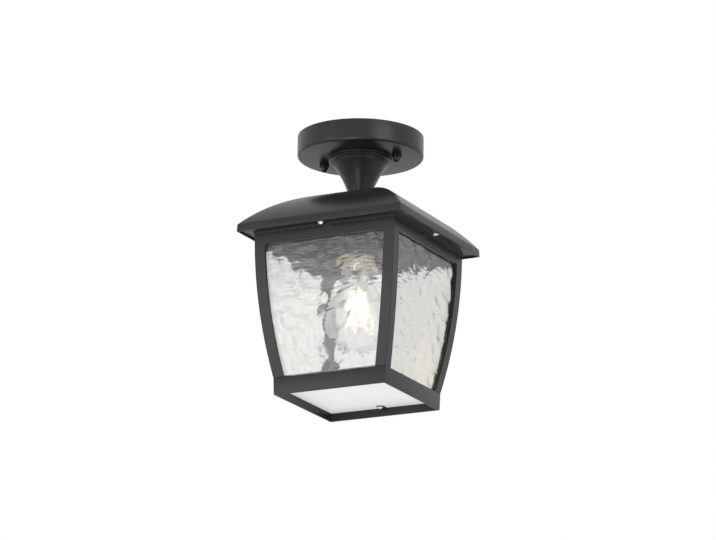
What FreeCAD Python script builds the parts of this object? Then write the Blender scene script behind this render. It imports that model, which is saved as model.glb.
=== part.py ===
"""Porch ceiling lantern: a square vaulted roof and a glazed cage hung from a round ceiling canopy.

Millimetres, +Z up. The origin is the centre of the canopy on the ceiling plane, so everything lies at
or below Z = 0, and a "depth" is a distance below that plane. The front of the lantern faces -Y.
Every driving dimension is a cell of the sheet; every other size is an expression on those cells.
"""
import FreeCAD, Part
import math
import os
import re
import Sketcher

SIZES = {
    # ceiling canopy: a spun steel cup
    "canopy_radius": 60.0,
    "canopy_depth": 20.6,
    "canopy_wall": 1.2,
    "canopy_edge_round": 2.2,
    # crossbar: two straps and the hollow rivet that joins them
    "strap_thickness": 1.6,
    "strap_corner_round": 3.0,
    "box_strap_width": 18.0,
    "box_slot_spread": 79.4,
    "box_slot_length": 15.0,
    "box_slot_width": 4.6,
    "box_slot_end_gap": 3.8,
    "strap_end_margin": 9.5,
    "canopy_strap_width": 16.0,
    "eyelet_bore_radius": 4.0,
    "eyelet_wall": 0.8,
    "eyelet_flange_width": 2.0,
    "ground_screw_offset": 22.0,
    "ground_screw_radius": 1.9,
    "ground_head_radius": 4.6,
    "ground_head_height": 2.6,
    # canopy studs and their nuts
    "stud_ring_gap": 7.5,
    "stud_radius": 2.45,
    "stud_top_depth": 0.4,
    "stud_reach": 7.0,
    "stud_nut_across": 8.0,
    "stud_nut_height": 3.2,
    "cap_nut_hex_height": 4.6,
    "cap_nut_height": 9.0,
    "cap_nut_dome_radius": 3.6,
    "cap_nut_bore_depth": 7.4,
    "hole_clearance": 0.3,
    "thread_clearance": 0.05,
    # neck: a cast trumpet with two turned rings
    "neck_length": 36.7,
    "neck_ring_radius": 31.0,
    "neck_ring_height": 1.7,
    "neck_ring_bevel": 0.5,
    "neck_groove_inset": 1.7,
    "neck_groove_height": 1.0,
    "neck_bead_inset": 0.6,
    "neck_bead_height": 1.8,
    "neck_step_inset": 3.6,
    "neck_step_height": 1.2,
    "neck_cone_inset": 4.8,
    "neck_cone_drop": 1.0,
    "neck_curve_radius": 90.0,
    "neck_foot_radius": 10.9,
    "neck_wall": 2.8,
    "neck_floor": 5.5,
    # lamp pipe that clamps canopy, neck and roof together
    "pipe_radius": 4.8,
    "pipe_bore_radius": 3.3,
    "pipe_top_tail": 2.7,
    "pipe_low_tail": 4.2,
    "pipe_end_chamfer": 0.6,
    "pipe_nut_across": 14.0,
    "pipe_nut_height": 4.0,
    "washer_radius": 10.0,
    "washer_thickness": 1.2,
    # roof: a square vaulted casting with an upright lip
    "eave_overhang": 12.55,
    "roof_lip_inset": 0.45,
    "roof_lip_height": 7.2,
    "roof_wall": 1.8,
    "roof_rise": 41.0,
    "crown_pad_radius": 13.0,
    "crown_pad_height": 0.5,
    "crown_boss_radius": 14.0,
    "crown_boss_height": 3.2,
    "eave_screw_inset": 3.5,
    "eave_boss_radius": 4.0,
    "eave_screw_radius": 1.9,
    "eave_screw_length": 6.2,
    "eave_head_radius": 3.3,
    "eave_head_height": 2.2,
    # flange under the eaves, which carries the cage
    "flange_recess": 1.3,
    "flange_thickness": 1.6,
    "flange_clearance": 0.2,
    "collar_height": 2.3,
    "collar_thickness": 0.9,
    "pane_lip_thickness": 1.4,
    "pane_lip_depth": 7.3,
    # cage of four bowed window frames
    "cage_top_half": 73.0,
    "cage_curve_radius": 660.0,
    "cage_height": 139.0,
    "frame_thickness": 3.0,
    "post_width": 11.0,
    "top_rail_height": 12.6,
    "window_corner_round": 2.5,
    "mitre_chamfer": 0.35,
    "seat_clearance": 0.05,
    # glass panes
    "pane_thickness": 3.0,
    "pane_back_gap": 0.1,
    "pane_corner_gap": 0.5,
    "pane_top_gap": 0.5,
    "pane_lip_gap": 0.2,
    # rail at the foot of the cage, and the frosted panel in it
    "rail_height": 16.1,
    "rail_taper": 1.4,
    "rail_wall": 2.0,
    "rail_band": 5.0,
    "shelf_thickness": 2.5,
    "ridge_width": 1.6,
    "ridge_height": 3.0,
    "panel_thickness": 3.0,
    "panel_recess": 7.6,
    "panel_clearance": 0.3,
    "panel_corner_round": 1.0,
    "clip_width": 7.4,
    "clip_length": 11.0,
    "clip_thickness": 0.8,
    "clip_screw_inset": 8.0,
    "clip_boss_margin": 3.6,
    "clip_screw_radius": 1.45,
    "clip_screw_length": 9.0,
    "clip_head_radius": 2.8,
    "clip_head_height": 1.6,
    # lampholder hung from the pipe
    "bracket_thickness": 1.6,
    "bracket_width": 14.0,
    "bracket_end_margin": 8.2,
    "bracket_bend_round": 3.0,
    "holder_radius": 18.5,
    "holder_pipe_gap": 4.0,
    "holder_length": 51.0,
    "holder_edge_bevel": 1.6,
    "holder_bore_depth": 27.0,
    "holder_pocket_radius": 9.0,
    "holder_pocket_depth": 6.0,
    "holder_screw_rise": 33.0,
    "holder_screw_radius": 1.9,
    "holder_screw_length": 5.5,
    "holder_head_radius": 3.4,
    "holder_head_height": 2.0,
    "shell_wall": 0.4,
    "shell_length": 25.0,
    "contact_strip_thickness": 0.6,
    "contact_strip_width": 6.0,
    "contact_strip_half": 6.5,
    "contact_foot_half": 2.5,
    # lamp: a clear bulb with four filament sticks, on a 26 mm screw cap
    "lamp_cap_radius": 13.0,
    "lamp_cap_wall": 0.4,
    "lamp_cap_length": 21.0,
    "lamp_running_gap": 0.08,
    "lamp_contact_radius": 4.6,
    "lamp_contact_height": 2.2,
    "lamp_contact_drop": 9.0,
    "insulator_height": 3.8,
    "insulator_tip_radius": 5.5,
    "insulator_skirt": 2.6,
    "bulb_radius": 30.0,
    "bulb_wall": 0.8,
    "bulb_neck_radius": 12.9,
    "bulb_flare_angle": 40.0,
    "bulb_neck_tuck": 9.0,
    "stem_radius": 3.2,
    "stem_flare_height": 9.0,
    "stem_length": 25.0,
    "filament_radius": 0.9,
    "filament_top_spread": 5.6,
    "filament_low_spread": 10.5,
    "filament_top_drop": 44.0,
    "filament_fall": 38.0,
    "filament_count": 4,
    "wire_radius": 0.45,
    "wire_gap": 0.05,
}

# Sizes that follow from the driving ones, each in words of the sheet or of other entries here.
DERIVED = {
    "canopy_floor_depth": "canopy_depth - canopy_wall",
    "eyelet_radius": "eyelet_bore_radius + eyelet_wall",
    "straps_depth": "2 * strap_thickness",
    "box_strap_length": "box_slot_spread + box_slot_length + 2 * box_slot_end_gap",
    "stud_spread": "2 * (neck_ring_radius + stud_ring_gap)",
    "canopy_strap_length": "stud_spread + 2 * strap_end_margin",
    "stud_end_depth": "canopy_depth + stud_reach",
    "cap_nut_end_depth": "canopy_depth + cap_nut_height",
    "neck_groove_radius": "neck_ring_radius - neck_groove_inset",
    "neck_bead_radius": "neck_ring_radius - neck_bead_inset",
    "neck_step_radius": "neck_ring_radius - neck_step_inset",
    "neck_cone_radius": "neck_ring_radius - neck_cone_inset",
    "neck_ring_depth": "canopy_depth + neck_ring_height",
    "neck_groove_depth": "neck_ring_depth + neck_groove_height",
    "neck_bead_depth": "neck_groove_depth + neck_bead_height",
    "neck_step_depth": "neck_bead_depth + neck_step_height",
    "neck_cone_depth": "neck_step_depth + neck_cone_drop",
    "neck_foot_depth": "canopy_depth + neck_length",
    "crown_depth": "neck_foot_depth + crown_pad_height",
    "lip_top_depth": "crown_depth + roof_rise",
    "eave_depth": "lip_top_depth + roof_lip_height",
    "roof_half": "cage_top_half + eave_overhang",
    "roof_lip_half": "roof_half - roof_lip_inset",
    "vault_radius": "(roof_lip_half^2 + roof_rise^2) / (2 * roof_rise)",
    "vault_centre_depth": "crown_depth + vault_radius",
    "neck_floor_depth": "neck_foot_depth - neck_floor",
    "crown_seat_depth": "crown_depth + crown_boss_height",
    "lower_nut_depth": "crown_seat_depth + washer_thickness",
    "bracket_depth": "lower_nut_depth + pipe_nut_height",
    "bracket_nut_depth": "bracket_depth + bracket_thickness",
    "pipe_top_depth": "canopy_floor_depth - washer_thickness - pipe_nut_height - pipe_top_tail",
    "pipe_end_depth": "bracket_nut_depth + pipe_nut_height + pipe_low_tail",
    "pipe_hole_radius": "pipe_radius + hole_clearance",
    "pipe_thread_radius": "pipe_radius + thread_clearance",
    "flange_under_depth": "eave_depth - flange_recess",
    "flange_top_depth": "flange_under_depth - flange_thickness",
    "flange_half": "roof_half - roof_wall - roof_lip_inset - flange_clearance",
    "eave_screw_offset": "flange_half - eave_screw_inset",
    "cage_foot_depth": "flange_under_depth + cage_height",
    "cage_centre_offset": "cage_curve_radius - cage_top_half",
    "cage_foot_half": "sqrt(cage_curve_radius^2 - cage_height^2) - cage_centre_offset",
    "frame_back_radius": "cage_curve_radius - frame_thickness",
    "pane_front_radius": "frame_back_radius - pane_back_gap",
    "pane_rear_radius": "pane_front_radius - pane_thickness",
    "pane_rear_foot": "sqrt(pane_rear_radius^2 - cage_height^2) - cage_centre_offset",
    "pane_rear_top": "cage_top_half - frame_thickness - pane_back_gap - pane_thickness",
    "pane_side_shift": "frame_thickness + pane_back_gap + pane_thickness + pane_corner_gap",
    "pane_top_depth": "flange_under_depth + pane_top_gap",
    "window_top_depth": "flange_under_depth + top_rail_height",
    "pane_lip_half": "pane_rear_top - pane_lip_gap",
    "rail_foot_depth": "cage_foot_depth + rail_height",
    "panel_under_depth": "rail_foot_depth - panel_recess",
    "panel_top_depth": "panel_under_depth - panel_thickness",
    "rail_low_half": "cage_foot_half - rail_height * tan(rail_taper)",
    "rail_inner_half": "rail_low_half - rail_wall",
    "band_inner_half": "rail_low_half - rail_band",
    "ridge_outer_half": "pane_rear_foot - pane_lip_gap",
    "shelf_inner_half": "ridge_outer_half - ridge_width",
    "clip_screw_offset": "rail_inner_half - clip_screw_inset",
    "clip_boss_inner": "clip_screw_offset - clip_boss_margin",
    "clip_hole_radius": "clip_screw_radius + thread_clearance",
    "shell_bore_radius": "lamp_cap_radius + lamp_running_gap",
    "shell_radius": "shell_bore_radius + shell_wall",
    "holder_bore_radius": "shell_radius + thread_clearance",
    "holder_top_depth": "pipe_end_depth + holder_pipe_gap",
    "holder_mouth_depth": "holder_top_depth + holder_length",
    "holder_screw_depth": "holder_mouth_depth - holder_screw_rise",
    "bracket_end_depth": "holder_screw_depth + bracket_end_margin",
    "holder_ledge_depth": "holder_mouth_depth - holder_bore_depth",
    "holder_pocket_top": "holder_ledge_depth - holder_pocket_depth",
    "lamp_tip_depth": "holder_pocket_top + lamp_contact_drop",
    "lamp_seat_depth": "lamp_tip_depth + lamp_contact_height",
    "cap_top_depth": "lamp_seat_depth + insulator_height",
    "cap_foot_depth": "cap_top_depth + lamp_cap_length",
    "cap_bore_radius": "lamp_cap_radius - lamp_cap_wall",
    "neck_glass_radius": "cap_bore_radius - thread_clearance",
    "flare_outer_radius": "(bulb_radius * cos(bulb_flare_angle) - bulb_neck_radius) / (1 - cos(bulb_flare_angle))",
    "bulb_neck_depth": "cap_foot_depth + wire_gap",
    "bulb_join_depth": "bulb_neck_depth + flare_outer_radius * sin(bulb_flare_angle)",
    "bulb_centre_depth": "bulb_join_depth + bulb_radius * sin(bulb_flare_angle)",
    "bulb_inner_radius": "bulb_radius - bulb_wall",
    "filament_top_depth": "lamp_tip_depth + filament_top_drop",
    "filament_low_depth": "filament_top_depth + filament_fall",
    "stem_top_depth": "cap_foot_depth - bulb_neck_tuck",
    "stem_end_depth": "stem_top_depth + stem_flare_height + stem_length",
}

SIDES = ("front", "right", "back", "left")
QUARTER = 90.0
UP = FreeCAD.Vector(0, 0, 1)
ORIGIN = FreeCAD.Vector(0, 0, 0)
# Turns that carry a sketch's own plane into the three planes of the frame.
PLANES = {
    "XY": FreeCAD.Rotation(),
    "XZ": FreeCAD.Rotation(FreeCAD.Vector(1, 0, 0), QUARTER),
    "YZ": FreeCAD.Rotation(FreeCAD.Vector(1, 1, 1), 120),
}

doc = FreeCAD.newDocument("porch_ceiling_lantern")
sheet = doc.addObject("Spreadsheet::Sheet", "sizes")
for row, (alias, size) in enumerate(SIZES.items(), start=1):
    sheet.set(f"A{row}", alias)
    sheet.set(f"B{row}", str(size))
    sheet.setAlias(f"B{row}", alias)
doc.recompute()

nodes = {}


def in_sheet(text):
    """Writes an expression on size names as one on the sheet's cells."""
    def swap(match):
        word = match.group(0)
        if word in DERIVED:
            return "(" + in_sheet(DERIVED[word]) + ")"
        return "sizes." + word if word in SIZES else word
    return re.sub(r"[a-z][a-z_]*", swap, str(text))


def number(text):
    """The present value of an expression on size names."""
    found = sheet.evalExpression(in_sheet(text))
    return float(getattr(found, "Value", found))


def bind(thing, prop, text):
    """Sets a property from an expression on size names, and keeps it tied to them."""
    thing.setExpression(prop, in_sheet(text))


def arc_between(start, end, radius, turn):
    """A short arc from start to end; turn +1 runs anticlockwise and -1 clockwise."""
    half = (end - start) * 0.5
    rise = math.sqrt(max(radius**2 - half.Length**2, 0.0))
    side = FreeCAD.Vector(-half.y, half.x, 0).normalize() * (rise * turn)
    centre = start + half + side
    first, last = (start, end) if turn > 0 else (end, start)
    begin = math.atan2(first.y - centre.y, first.x - centre.x)
    finish = math.atan2(last.y - centre.y, last.x - centre.x)
    return Part.ArcOfCircle(Part.Circle(centre, UP, radius), begin, finish)


def draw_outline(sketch, corners):
    """Draws a closed outline and ties it to the sheet.

    A corner is (x, y) where a straight side leads to the next corner, and (x, y, radius, turn) where
    an arc does. Each corner is held by its two coordinates, and each arc by its radius as well.
    """
    points = [FreeCAD.Vector(number(c[0]), number(c[1]), 0) for c in corners]
    first_edge = sketch.GeometryCount
    ends = []
    for index, corner in enumerate(corners):
        start, end = points[index], points[(index + 1) % len(points)]
        if len(corner) == 2:
            sketch.addGeometry(Part.LineSegment(start, end), False)
            ends.append((1, 2))
        else:
            sketch.addGeometry(arc_between(start, end, number(corner[2]), corner[3]), False)
            ends.append((1, 2) if corner[3] > 0 else (2, 1))
    for index, corner in enumerate(corners):
        edge = first_edge + index
        following = (index + 1) % len(corners)
        sketch.addConstraint(Sketcher.Constraint(
            "Coincident", edge, ends[index][1], first_edge + following, ends[following][0]))
        for kind, text in (("DistanceX", corner[0]), ("DistanceY", corner[1])):
            place = sketch.addConstraint(Sketcher.Constraint(
                kind, -1, 1, edge, ends[index][0], number(text)))
            bind(sketch, f"Constraints[{place}]", text)
        if len(corner) > 2:
            place = sketch.addConstraint(Sketcher.Constraint("Radius", edge, number(corner[2])))
            bind(sketch, f"Constraints[{place}]", corner[2])


def draw_circle(sketch, x, y, radius):
    """Draws a circle tied to the sheet by its centre and radius."""
    edge = sketch.addGeometry(Part.Circle(FreeCAD.Vector(number(x), number(y), 0), UP, number(radius)), False)
    for kind, text in (("DistanceX", x), ("DistanceY", y)):
        place = sketch.addConstraint(Sketcher.Constraint(kind, -1, 1, edge, 3, number(text)))
        bind(sketch, f"Constraints[{place}]", text)
    place = sketch.addConstraint(Sketcher.Constraint("Radius", edge, number(radius)))
    bind(sketch, f"Constraints[{place}]", radius)


def rectangle(half_x, half_y):
    """The corners of a rectangle about the origin."""
    return [(f"0 - ({half_x})", f"0 - ({half_y})"), (half_x, f"0 - ({half_y})"),
            (half_x, half_y), (f"0 - ({half_x})", half_y)]


def rounded_rectangle(half_x, half_y, radius):
    """The corners of a rectangle about the origin with quarter-round corners."""
    flat_x, flat_y = f"({half_x}) - ({radius})", f"({half_y}) - ({radius})"
    return [(f"0 - ({flat_x})", f"0 - ({half_y})"), (flat_x, f"0 - ({half_y})", radius, 1),
            (half_x, f"0 - ({flat_y})"), (half_x, flat_y, radius, 1),
            (flat_x, half_y), (f"0 - ({flat_x})", half_y, radius, 1),
            (f"0 - ({half_x})", flat_y), (f"0 - ({half_x})", f"0 - ({flat_y})", radius, 1)]


def slot(centre_y, length, width):
    """The corners of a round-ended slot that runs along Y about (0, centre_y)."""
    radius = f"({width}) / 2"
    near = f"({centre_y}) - (({length}) - ({width})) / 2"
    far = f"({centre_y}) + (({length}) - ({width})) / 2"
    return [(radius, near), (radius, far, radius, 1), ("0", f"({far}) + ({radius})", radius, 1),
            (f"0 - {radius}", far), (f"0 - {radius}", near, radius, 1),
            ("0", f"({near}) - ({radius})", radius, 1)]


def new_body(label):
    """An empty body, kept under its label as a node of the lantern."""
    body = doc.addObject("PartDesign::Body", label)
    body.Label = label
    nodes[label] = body
    return body


def sketch_in(body, name, plane, offset="0"):
    """A sketch on one of the body's own origin planes, moved along the plane's normal."""
    sketch = body.newObject("Sketcher::SketchObject", name)
    support = next(f for f in body.Origin.OriginFeatures if f.Role == plane + "_Plane")
    sketch.AttachmentSupport = (support, [""])
    sketch.MapMode = "FlatFace"
    bind(sketch, "AttachmentOffset.Base.z", offset)
    return sketch


def extrude_in(body, kind, sketch, length, reverse=False, both_ways=False):
    """A pad or pocket of a sketch, which has to change the body's volume."""
    volume = body.Shape.Volume if body.Tip else 0.0
    feature = body.newObject("PartDesign::" + kind, sketch.Name + "_" + kind.lower())
    feature.Profile = sketch
    bind(feature, "Length", length)
    feature.Reversed = reverse
    feature.Midplane = both_ways
    doc.recompute()
    change = body.Shape.Volume - volume
    if (change if kind == "Pad" else -change) < 1e-6:
        raise ValueError(f"{sketch.Name}: the {kind.lower()} changes nothing")
    return feature


def free_sketch(name, plane, corners):
    """A sketch of one outline, standing on one of the frame's planes."""
    sketch = doc.addObject("Sketcher::SketchObject", name)
    sketch.Placement = FreeCAD.Placement(ORIGIN, PLANES[plane])
    draw_outline(sketch, corners)
    return sketch


def extruded(sketch, length, both_ways=True):
    """A solid drawn out from a free sketch along its normal."""
    solid = doc.addObject("Part::Extrusion", sketch.Name + "_solid")
    solid.Base = sketch
    solid.DirMode = "Normal"
    solid.Solid = True
    solid.Symmetric = both_ways
    bind(solid, "LengthFwd", length)
    return solid


def turned(name, corners):
    """A solid turned about Z from corners given as (radius, height)."""
    sketch = free_sketch(name + "_profile", "XZ", corners)
    solid = doc.addObject("Part::Revolution", name)
    solid.Source = sketch
    solid.Axis = UP
    solid.Base = ORIGIN
    solid.Angle = 360
    solid.Solid = True
    return solid


def cylinder(name, radius, low, height):
    """A plain round bar about Z from a height upwards."""
    bar = doc.addObject("Part::Cylinder", name)
    bind(bar, "Radius", radius)
    bind(bar, "Height", height)
    bind(bar, "Placement.Base.z", low)
    return bar


def hexagonal(name, across, low, height):
    """A hexagonal bar about Z of a size across its flats."""
    bar = doc.addObject("Part::Prism", name)
    bar.Polygon = 6
    bind(bar, "Circumradius", f"({across}) / sqrt(3)")
    bind(bar, "Height", height)
    bind(bar, "Placement.Base.z", low)
    return bar


def boolean(name, kind, base, tool):
    """A cut, common or fuse of two solids."""
    result = doc.addObject("Part::" + kind, name)
    result.Base = base
    result.Tool = tool
    result.Refine = True
    return result


def fused(name, solids):
    """Several solids made one."""
    result = doc.addObject("Part::MultiFuse", name)
    result.Shapes = solids
    result.Refine = True
    return result


def keep(label, solid):
    """Keeps a finished solid as a node of the lantern."""
    solid.Label = label
    nodes[label] = solid
    return solid


def keep_group(label, solids):
    """Keeps several separate solids as one node."""
    group = doc.addObject("Part::Compound", label)
    group.Links = solids
    return keep(label, group)


def at_places(solids, places):
    """Moves each solid sideways to its (x, y), and turns it about its own Z axis."""
    for solid, (x, y, angle) in zip(solids, places):
        solid.Placement = FreeCAD.Placement(ORIGIN, FreeCAD.Rotation(UP, angle))
        bind(solid, "Placement.Base.x", x)
        bind(solid, "Placement.Base.y", y)
    return solids


def hexagon_nut(name, depth, height, across, bore):
    """A hexagon nut whose upper face lies at a depth."""
    bar = hexagonal(name + "_hex", across, f"0 - ({depth}) - ({height})", height)
    hole = cylinder(name + "_bore", bore, f"0 - ({depth}) - 2 * ({height})", f"3 * ({height})")
    return boolean(name, "Cut", bar, hole)


def washer(name, depth, thickness, radius, bore):
    """A flat washer whose upper face lies at a depth."""
    top, low = f"0 - ({depth})", f"0 - ({depth}) - ({thickness})"
    return turned(name, [(bore, top), (radius, top), (radius, low), (bore, low)])


def pan_screw(name, seat, shank, length, head, height):
    """A screw that points up from its seat at a height, with a rounded pan head below it."""
    tip = f"({seat}) + ({length})"
    return turned(name, [("0", f"({seat}) - ({height})"), (f"0.6 * ({head})", f"({seat}) - ({height})"),
                         (head, f"({seat}) - 0.4 * ({height})"), (head, seat), (shank, seat),
                         (shank, f"{tip} - {shank}"), ("0", tip)])


def ceiling_canopy():
    """The cup against the ceiling: turned wall and floor, holes for the pipe and the two studs."""
    body = new_body("ceiling_canopy")
    profile = sketch_in(body, "canopy_profile", "XZ")
    inner_round = "canopy_edge_round - canopy_wall"
    draw_outline(profile, [
        ("canopy_radius", "0"), ("canopy_radius - canopy_wall", "0"),
        ("canopy_radius - canopy_wall", "0 - canopy_depth + canopy_edge_round", inner_round, -1),
        ("canopy_radius - canopy_edge_round", "0 - canopy_floor_depth"),
        ("pipe_hole_radius", "0 - canopy_floor_depth"), ("pipe_hole_radius", "0 - canopy_depth"),
        ("canopy_radius - canopy_edge_round", "0 - canopy_depth", "canopy_edge_round", 1),
        ("canopy_radius", "0 - canopy_depth + canopy_edge_round")])
    cup = body.newObject("PartDesign::Revolution", "canopy_cup")
    cup.Profile = profile
    cup.ReferenceAxis = (profile, ["V_Axis"])
    cup.Angle = 360
    doc.recompute()
    holes = sketch_in(body, "canopy_stud_holes", "XY", "0 - canopy_floor_depth")
    for side in ("", "0 - "):
        draw_circle(holes, f"{side}stud_spread / 2", "0", "stud_radius + hole_clearance")
    extrude_in(body, "Pocket", holes, "2 * canopy_wall")


def named_circle(shape, radius, height):
    """The name of the circular edge that has a radius and lies at a height."""
    for index, edge in enumerate(shape.Edges, start=1):
        curve = edge.Curve
        if isinstance(curve, Part.Circle) and abs(curve.Radius - radius) < 1e-4:
            if abs(curve.Center.z - height) < 1e-4:
                return f"Edge{index}"
    raise ValueError("no such circular edge")


def crossbar():
    """The two straps, the flared hollow rivet through both and the earth screw."""
    rivet_hole = "eyelet_radius + thread_clearance"
    box = new_body("crossbar_box_strap")
    plate = sketch_in(box, "box_strap_outline", "XY")
    draw_outline(plate, rounded_rectangle("box_strap_width / 2", "box_strap_length / 2", "strap_corner_round"))
    draw_circle(plate, "0", "0", rivet_hole)
    for side in ("", "0 - "):
        draw_outline(plate, slot(f"{side}box_slot_spread / 2", "box_slot_length", "box_slot_width"))
    pad = extrude_in(box, "Pad", plate, "strap_thickness", reverse=True)
    countersink = box.newObject("PartDesign::Chamfer", "box_strap_countersink")
    countersink.Base = (pad, [named_circle(pad.Shape, number(rivet_hole), 0.0)])
    bind(countersink, "Size", "eyelet_wall")

    canopy = new_body("crossbar_canopy_strap")
    plate = sketch_in(canopy, "canopy_strap_outline", "XY", "0 - strap_thickness")
    draw_outline(plate, rounded_rectangle("canopy_strap_length / 2", "canopy_strap_width / 2",
                                          "strap_corner_round"))
    draw_circle(plate, "0", "0", rivet_hole)
    draw_circle(plate, "0 - ground_screw_offset", "0", "ground_screw_radius + thread_clearance")
    for side in ("", "0 - "):
        draw_circle(plate, f"{side}stud_spread / 2", "0", "stud_radius + thread_clearance")
    extrude_in(canopy, "Pad", plate, "strap_thickness", reverse=True)

    flange = "eyelet_radius + eyelet_flange_width"
    keep("crossbar_eyelet", turned("eyelet", [
        ("eyelet_bore_radius", "0 - straps_depth - eyelet_wall"), (flange, "0 - straps_depth - eyelet_wall"),
        (flange, "0 - straps_depth"), ("eyelet_radius", "0 - straps_depth"),
        ("eyelet_radius", "0 - eyelet_wall"), ("eyelet_radius + eyelet_wall", "0"),
        ("eyelet_bore_radius + eyelet_wall", "0"), ("eyelet_bore_radius", "0 - eyelet_wall")]))

    head = "ground_head_radius"
    under = "0 - straps_depth - ground_head_height"
    screw = turned("earth_screw", [
        ("0", under), (f"{head} - ground_head_height / 4", under), (head, f"{under} + ground_head_height / 4"),
        (head, "0 - straps_depth"), ("ground_screw_radius", "0 - straps_depth"),
        ("ground_screw_radius", "0 - strap_thickness / 2"), ("0", "0 - strap_thickness / 2")])
    keep("ground_screw", at_places([screw], [("0 - ground_screw_offset", "0", 0)])[0])


def canopy_fixings():
    """The two studs, the lock nuts that hold them in the strap and the two acorn nuts."""
    places = [("0 - stud_spread / 2", "0", 0), ("stud_spread / 2", "0", 0)]
    studs = [cylinder(f"stud_{side}", "stud_radius", "0 - stud_end_depth", "stud_end_depth - stud_top_depth")
             for side in ("left", "right")]
    keep_group("canopy_studs", at_places(studs, places))
    thread = "stud_radius + thread_clearance"
    nuts = [hexagon_nut(f"lock_nut_{side}", "straps_depth", "stud_nut_height", "stud_nut_across", thread)
            for side in ("left", "right")]
    keep_group("stud_lock_nuts", at_places(nuts, places))
    seat, low = "0 - canopy_depth", "0 - canopy_depth - cap_nut_hex_height"
    corner, flat = "stud_nut_across / sqrt(3)", "stud_nut_across / 2"
    bevel = f"({corner} - {flat}) / 2"
    bore_end = "0 - canopy_depth - cap_nut_bore_depth"
    dome_height = "(cap_nut_height - cap_nut_hex_height)"
    dome = f"(cap_nut_dome_radius^2 + {dome_height}^2) / (2 * {dome_height})"
    for side, place in zip(("left", "right"), places):
        blank = turned(f"{side}_cap_blank", [
            (thread, seat), (flat, seat), (corner, f"{seat} - {bevel}"), (corner, f"{low} + {bevel}"),
            ("cap_nut_dome_radius", low, dome, -1), ("0", "0 - cap_nut_end_depth"),
            ("0", bore_end), (thread, bore_end)])
        bar = hexagonal(f"{side}_cap_hex", "stud_nut_across", "0 - cap_nut_end_depth", "cap_nut_height")
        nut = boolean(f"{side}_cap_nut_solid", "Common", blank, bar)
        keep(f"{side}_cap_nut", at_places([nut], [place])[0])


def neck():
    """The trumpet neck: a ring, a groove and a bead at its wide end, then a hollow bowed cone."""
    body = new_body("neck_flare")
    profile = sketch_in(body, "neck_profile", "XZ")
    ring_bevel = "neck_ring_bevel"
    cavity_foot = "neck_foot_radius - neck_wall / 2"
    draw_outline(profile, [
        ("neck_cone_radius - neck_wall", "0 - canopy_depth"),
        ("neck_cone_radius - neck_wall", "0 - neck_cone_depth"),
        (cavity_foot, "0 - neck_floor_depth"),
        ("pipe_hole_radius", "0 - neck_floor_depth"), ("pipe_hole_radius", "0 - neck_foot_depth"),
        ("neck_foot_radius", "0 - neck_foot_depth", "neck_curve_radius", 1),
        ("neck_cone_radius", "0 - neck_cone_depth"), ("neck_step_radius", "0 - neck_step_depth"),
        ("neck_step_radius", "0 - neck_bead_depth"),
        (f"neck_bead_radius - {ring_bevel}", "0 - neck_bead_depth"),
        ("neck_bead_radius", f"0 - neck_bead_depth + {ring_bevel}"),
        ("neck_bead_radius", "0 - neck_groove_depth"), ("neck_groove_radius", "0 - neck_groove_depth"),
        ("neck_groove_radius", "0 - neck_ring_depth"),
        (f"neck_ring_radius - {ring_bevel}", "0 - neck_ring_depth"),
        ("neck_ring_radius", f"0 - neck_ring_depth + {ring_bevel}"),
        ("neck_ring_radius", "0 - canopy_depth")])
    flare = body.newObject("PartDesign::Revolution", "neck_turned")
    flare.Profile = profile
    flare.ReferenceAxis = (profile, ["V_Axis"])
    flare.Angle = 360


def lamp_pipe():
    """The hollow pipe through canopy, neck and roof, with a washer and a nut at each clamped end."""
    top, low = "0 - pipe_top_depth", "0 - pipe_end_depth"
    bevelled = "pipe_radius - pipe_end_chamfer"
    keep("threaded_nipple", turned("pipe", [
        ("pipe_bore_radius", top), (bevelled, top), ("pipe_radius", f"{top} - pipe_end_chamfer"),
        ("pipe_radius", f"{low} + pipe_end_chamfer"), (bevelled, low), ("pipe_bore_radius", low)]))
    bore = "pipe_thread_radius"
    upper_washer = "canopy_floor_depth - washer_thickness"
    keep("nipple_top_washer", washer("top_washer", upper_washer, "washer_thickness", "washer_radius", bore))
    keep("nipple_top_nut", hexagon_nut("top_nut", f"{upper_washer} - pipe_nut_height", "pipe_nut_height",
                                       "pipe_nut_across", bore))
    keep("nipple_bottom_washer", washer("bottom_washer", "crown_seat_depth", "washer_thickness",
                                        "washer_radius", bore))
    keep("nipple_bottom_nut", hexagon_nut("bottom_nut", "lower_nut_depth", "pipe_nut_height",
                                          "pipe_nut_across", bore))
    keep("bracket_nut", hexagon_nut("holding_nut", "bracket_nut_depth", "pipe_nut_height",
                                    "pipe_nut_across", bore))


def vault(name, inset, low):
    """A vaulted block: two barrel vaults at right angles, with the lip's drafted sides below them.

    inset moves every face inwards, and low is the depth of the flat underside.
    """
    spring, foot = f"(roof_lip_half - ({inset}))", f"(roof_half - ({inset}))"
    height = f"0 - vault_centre_depth + sqrt((vault_radius - ({inset}))^2 - {spring}^2)"
    corners = [(f"0 - {foot}", f"0 - ({low})"), (foot, f"0 - ({low})"),
               (spring, height, f"vault_radius - ({inset})", 1), (f"0 - {spring}", height)]
    across = extruded(free_sketch(name + "_front_section", "XZ", corners), "4 * roof_half")
    along = extruded(free_sketch(name + "_side_section", "YZ", corners), "4 * roof_half")
    return boolean(name, "Common", across, along)


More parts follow.
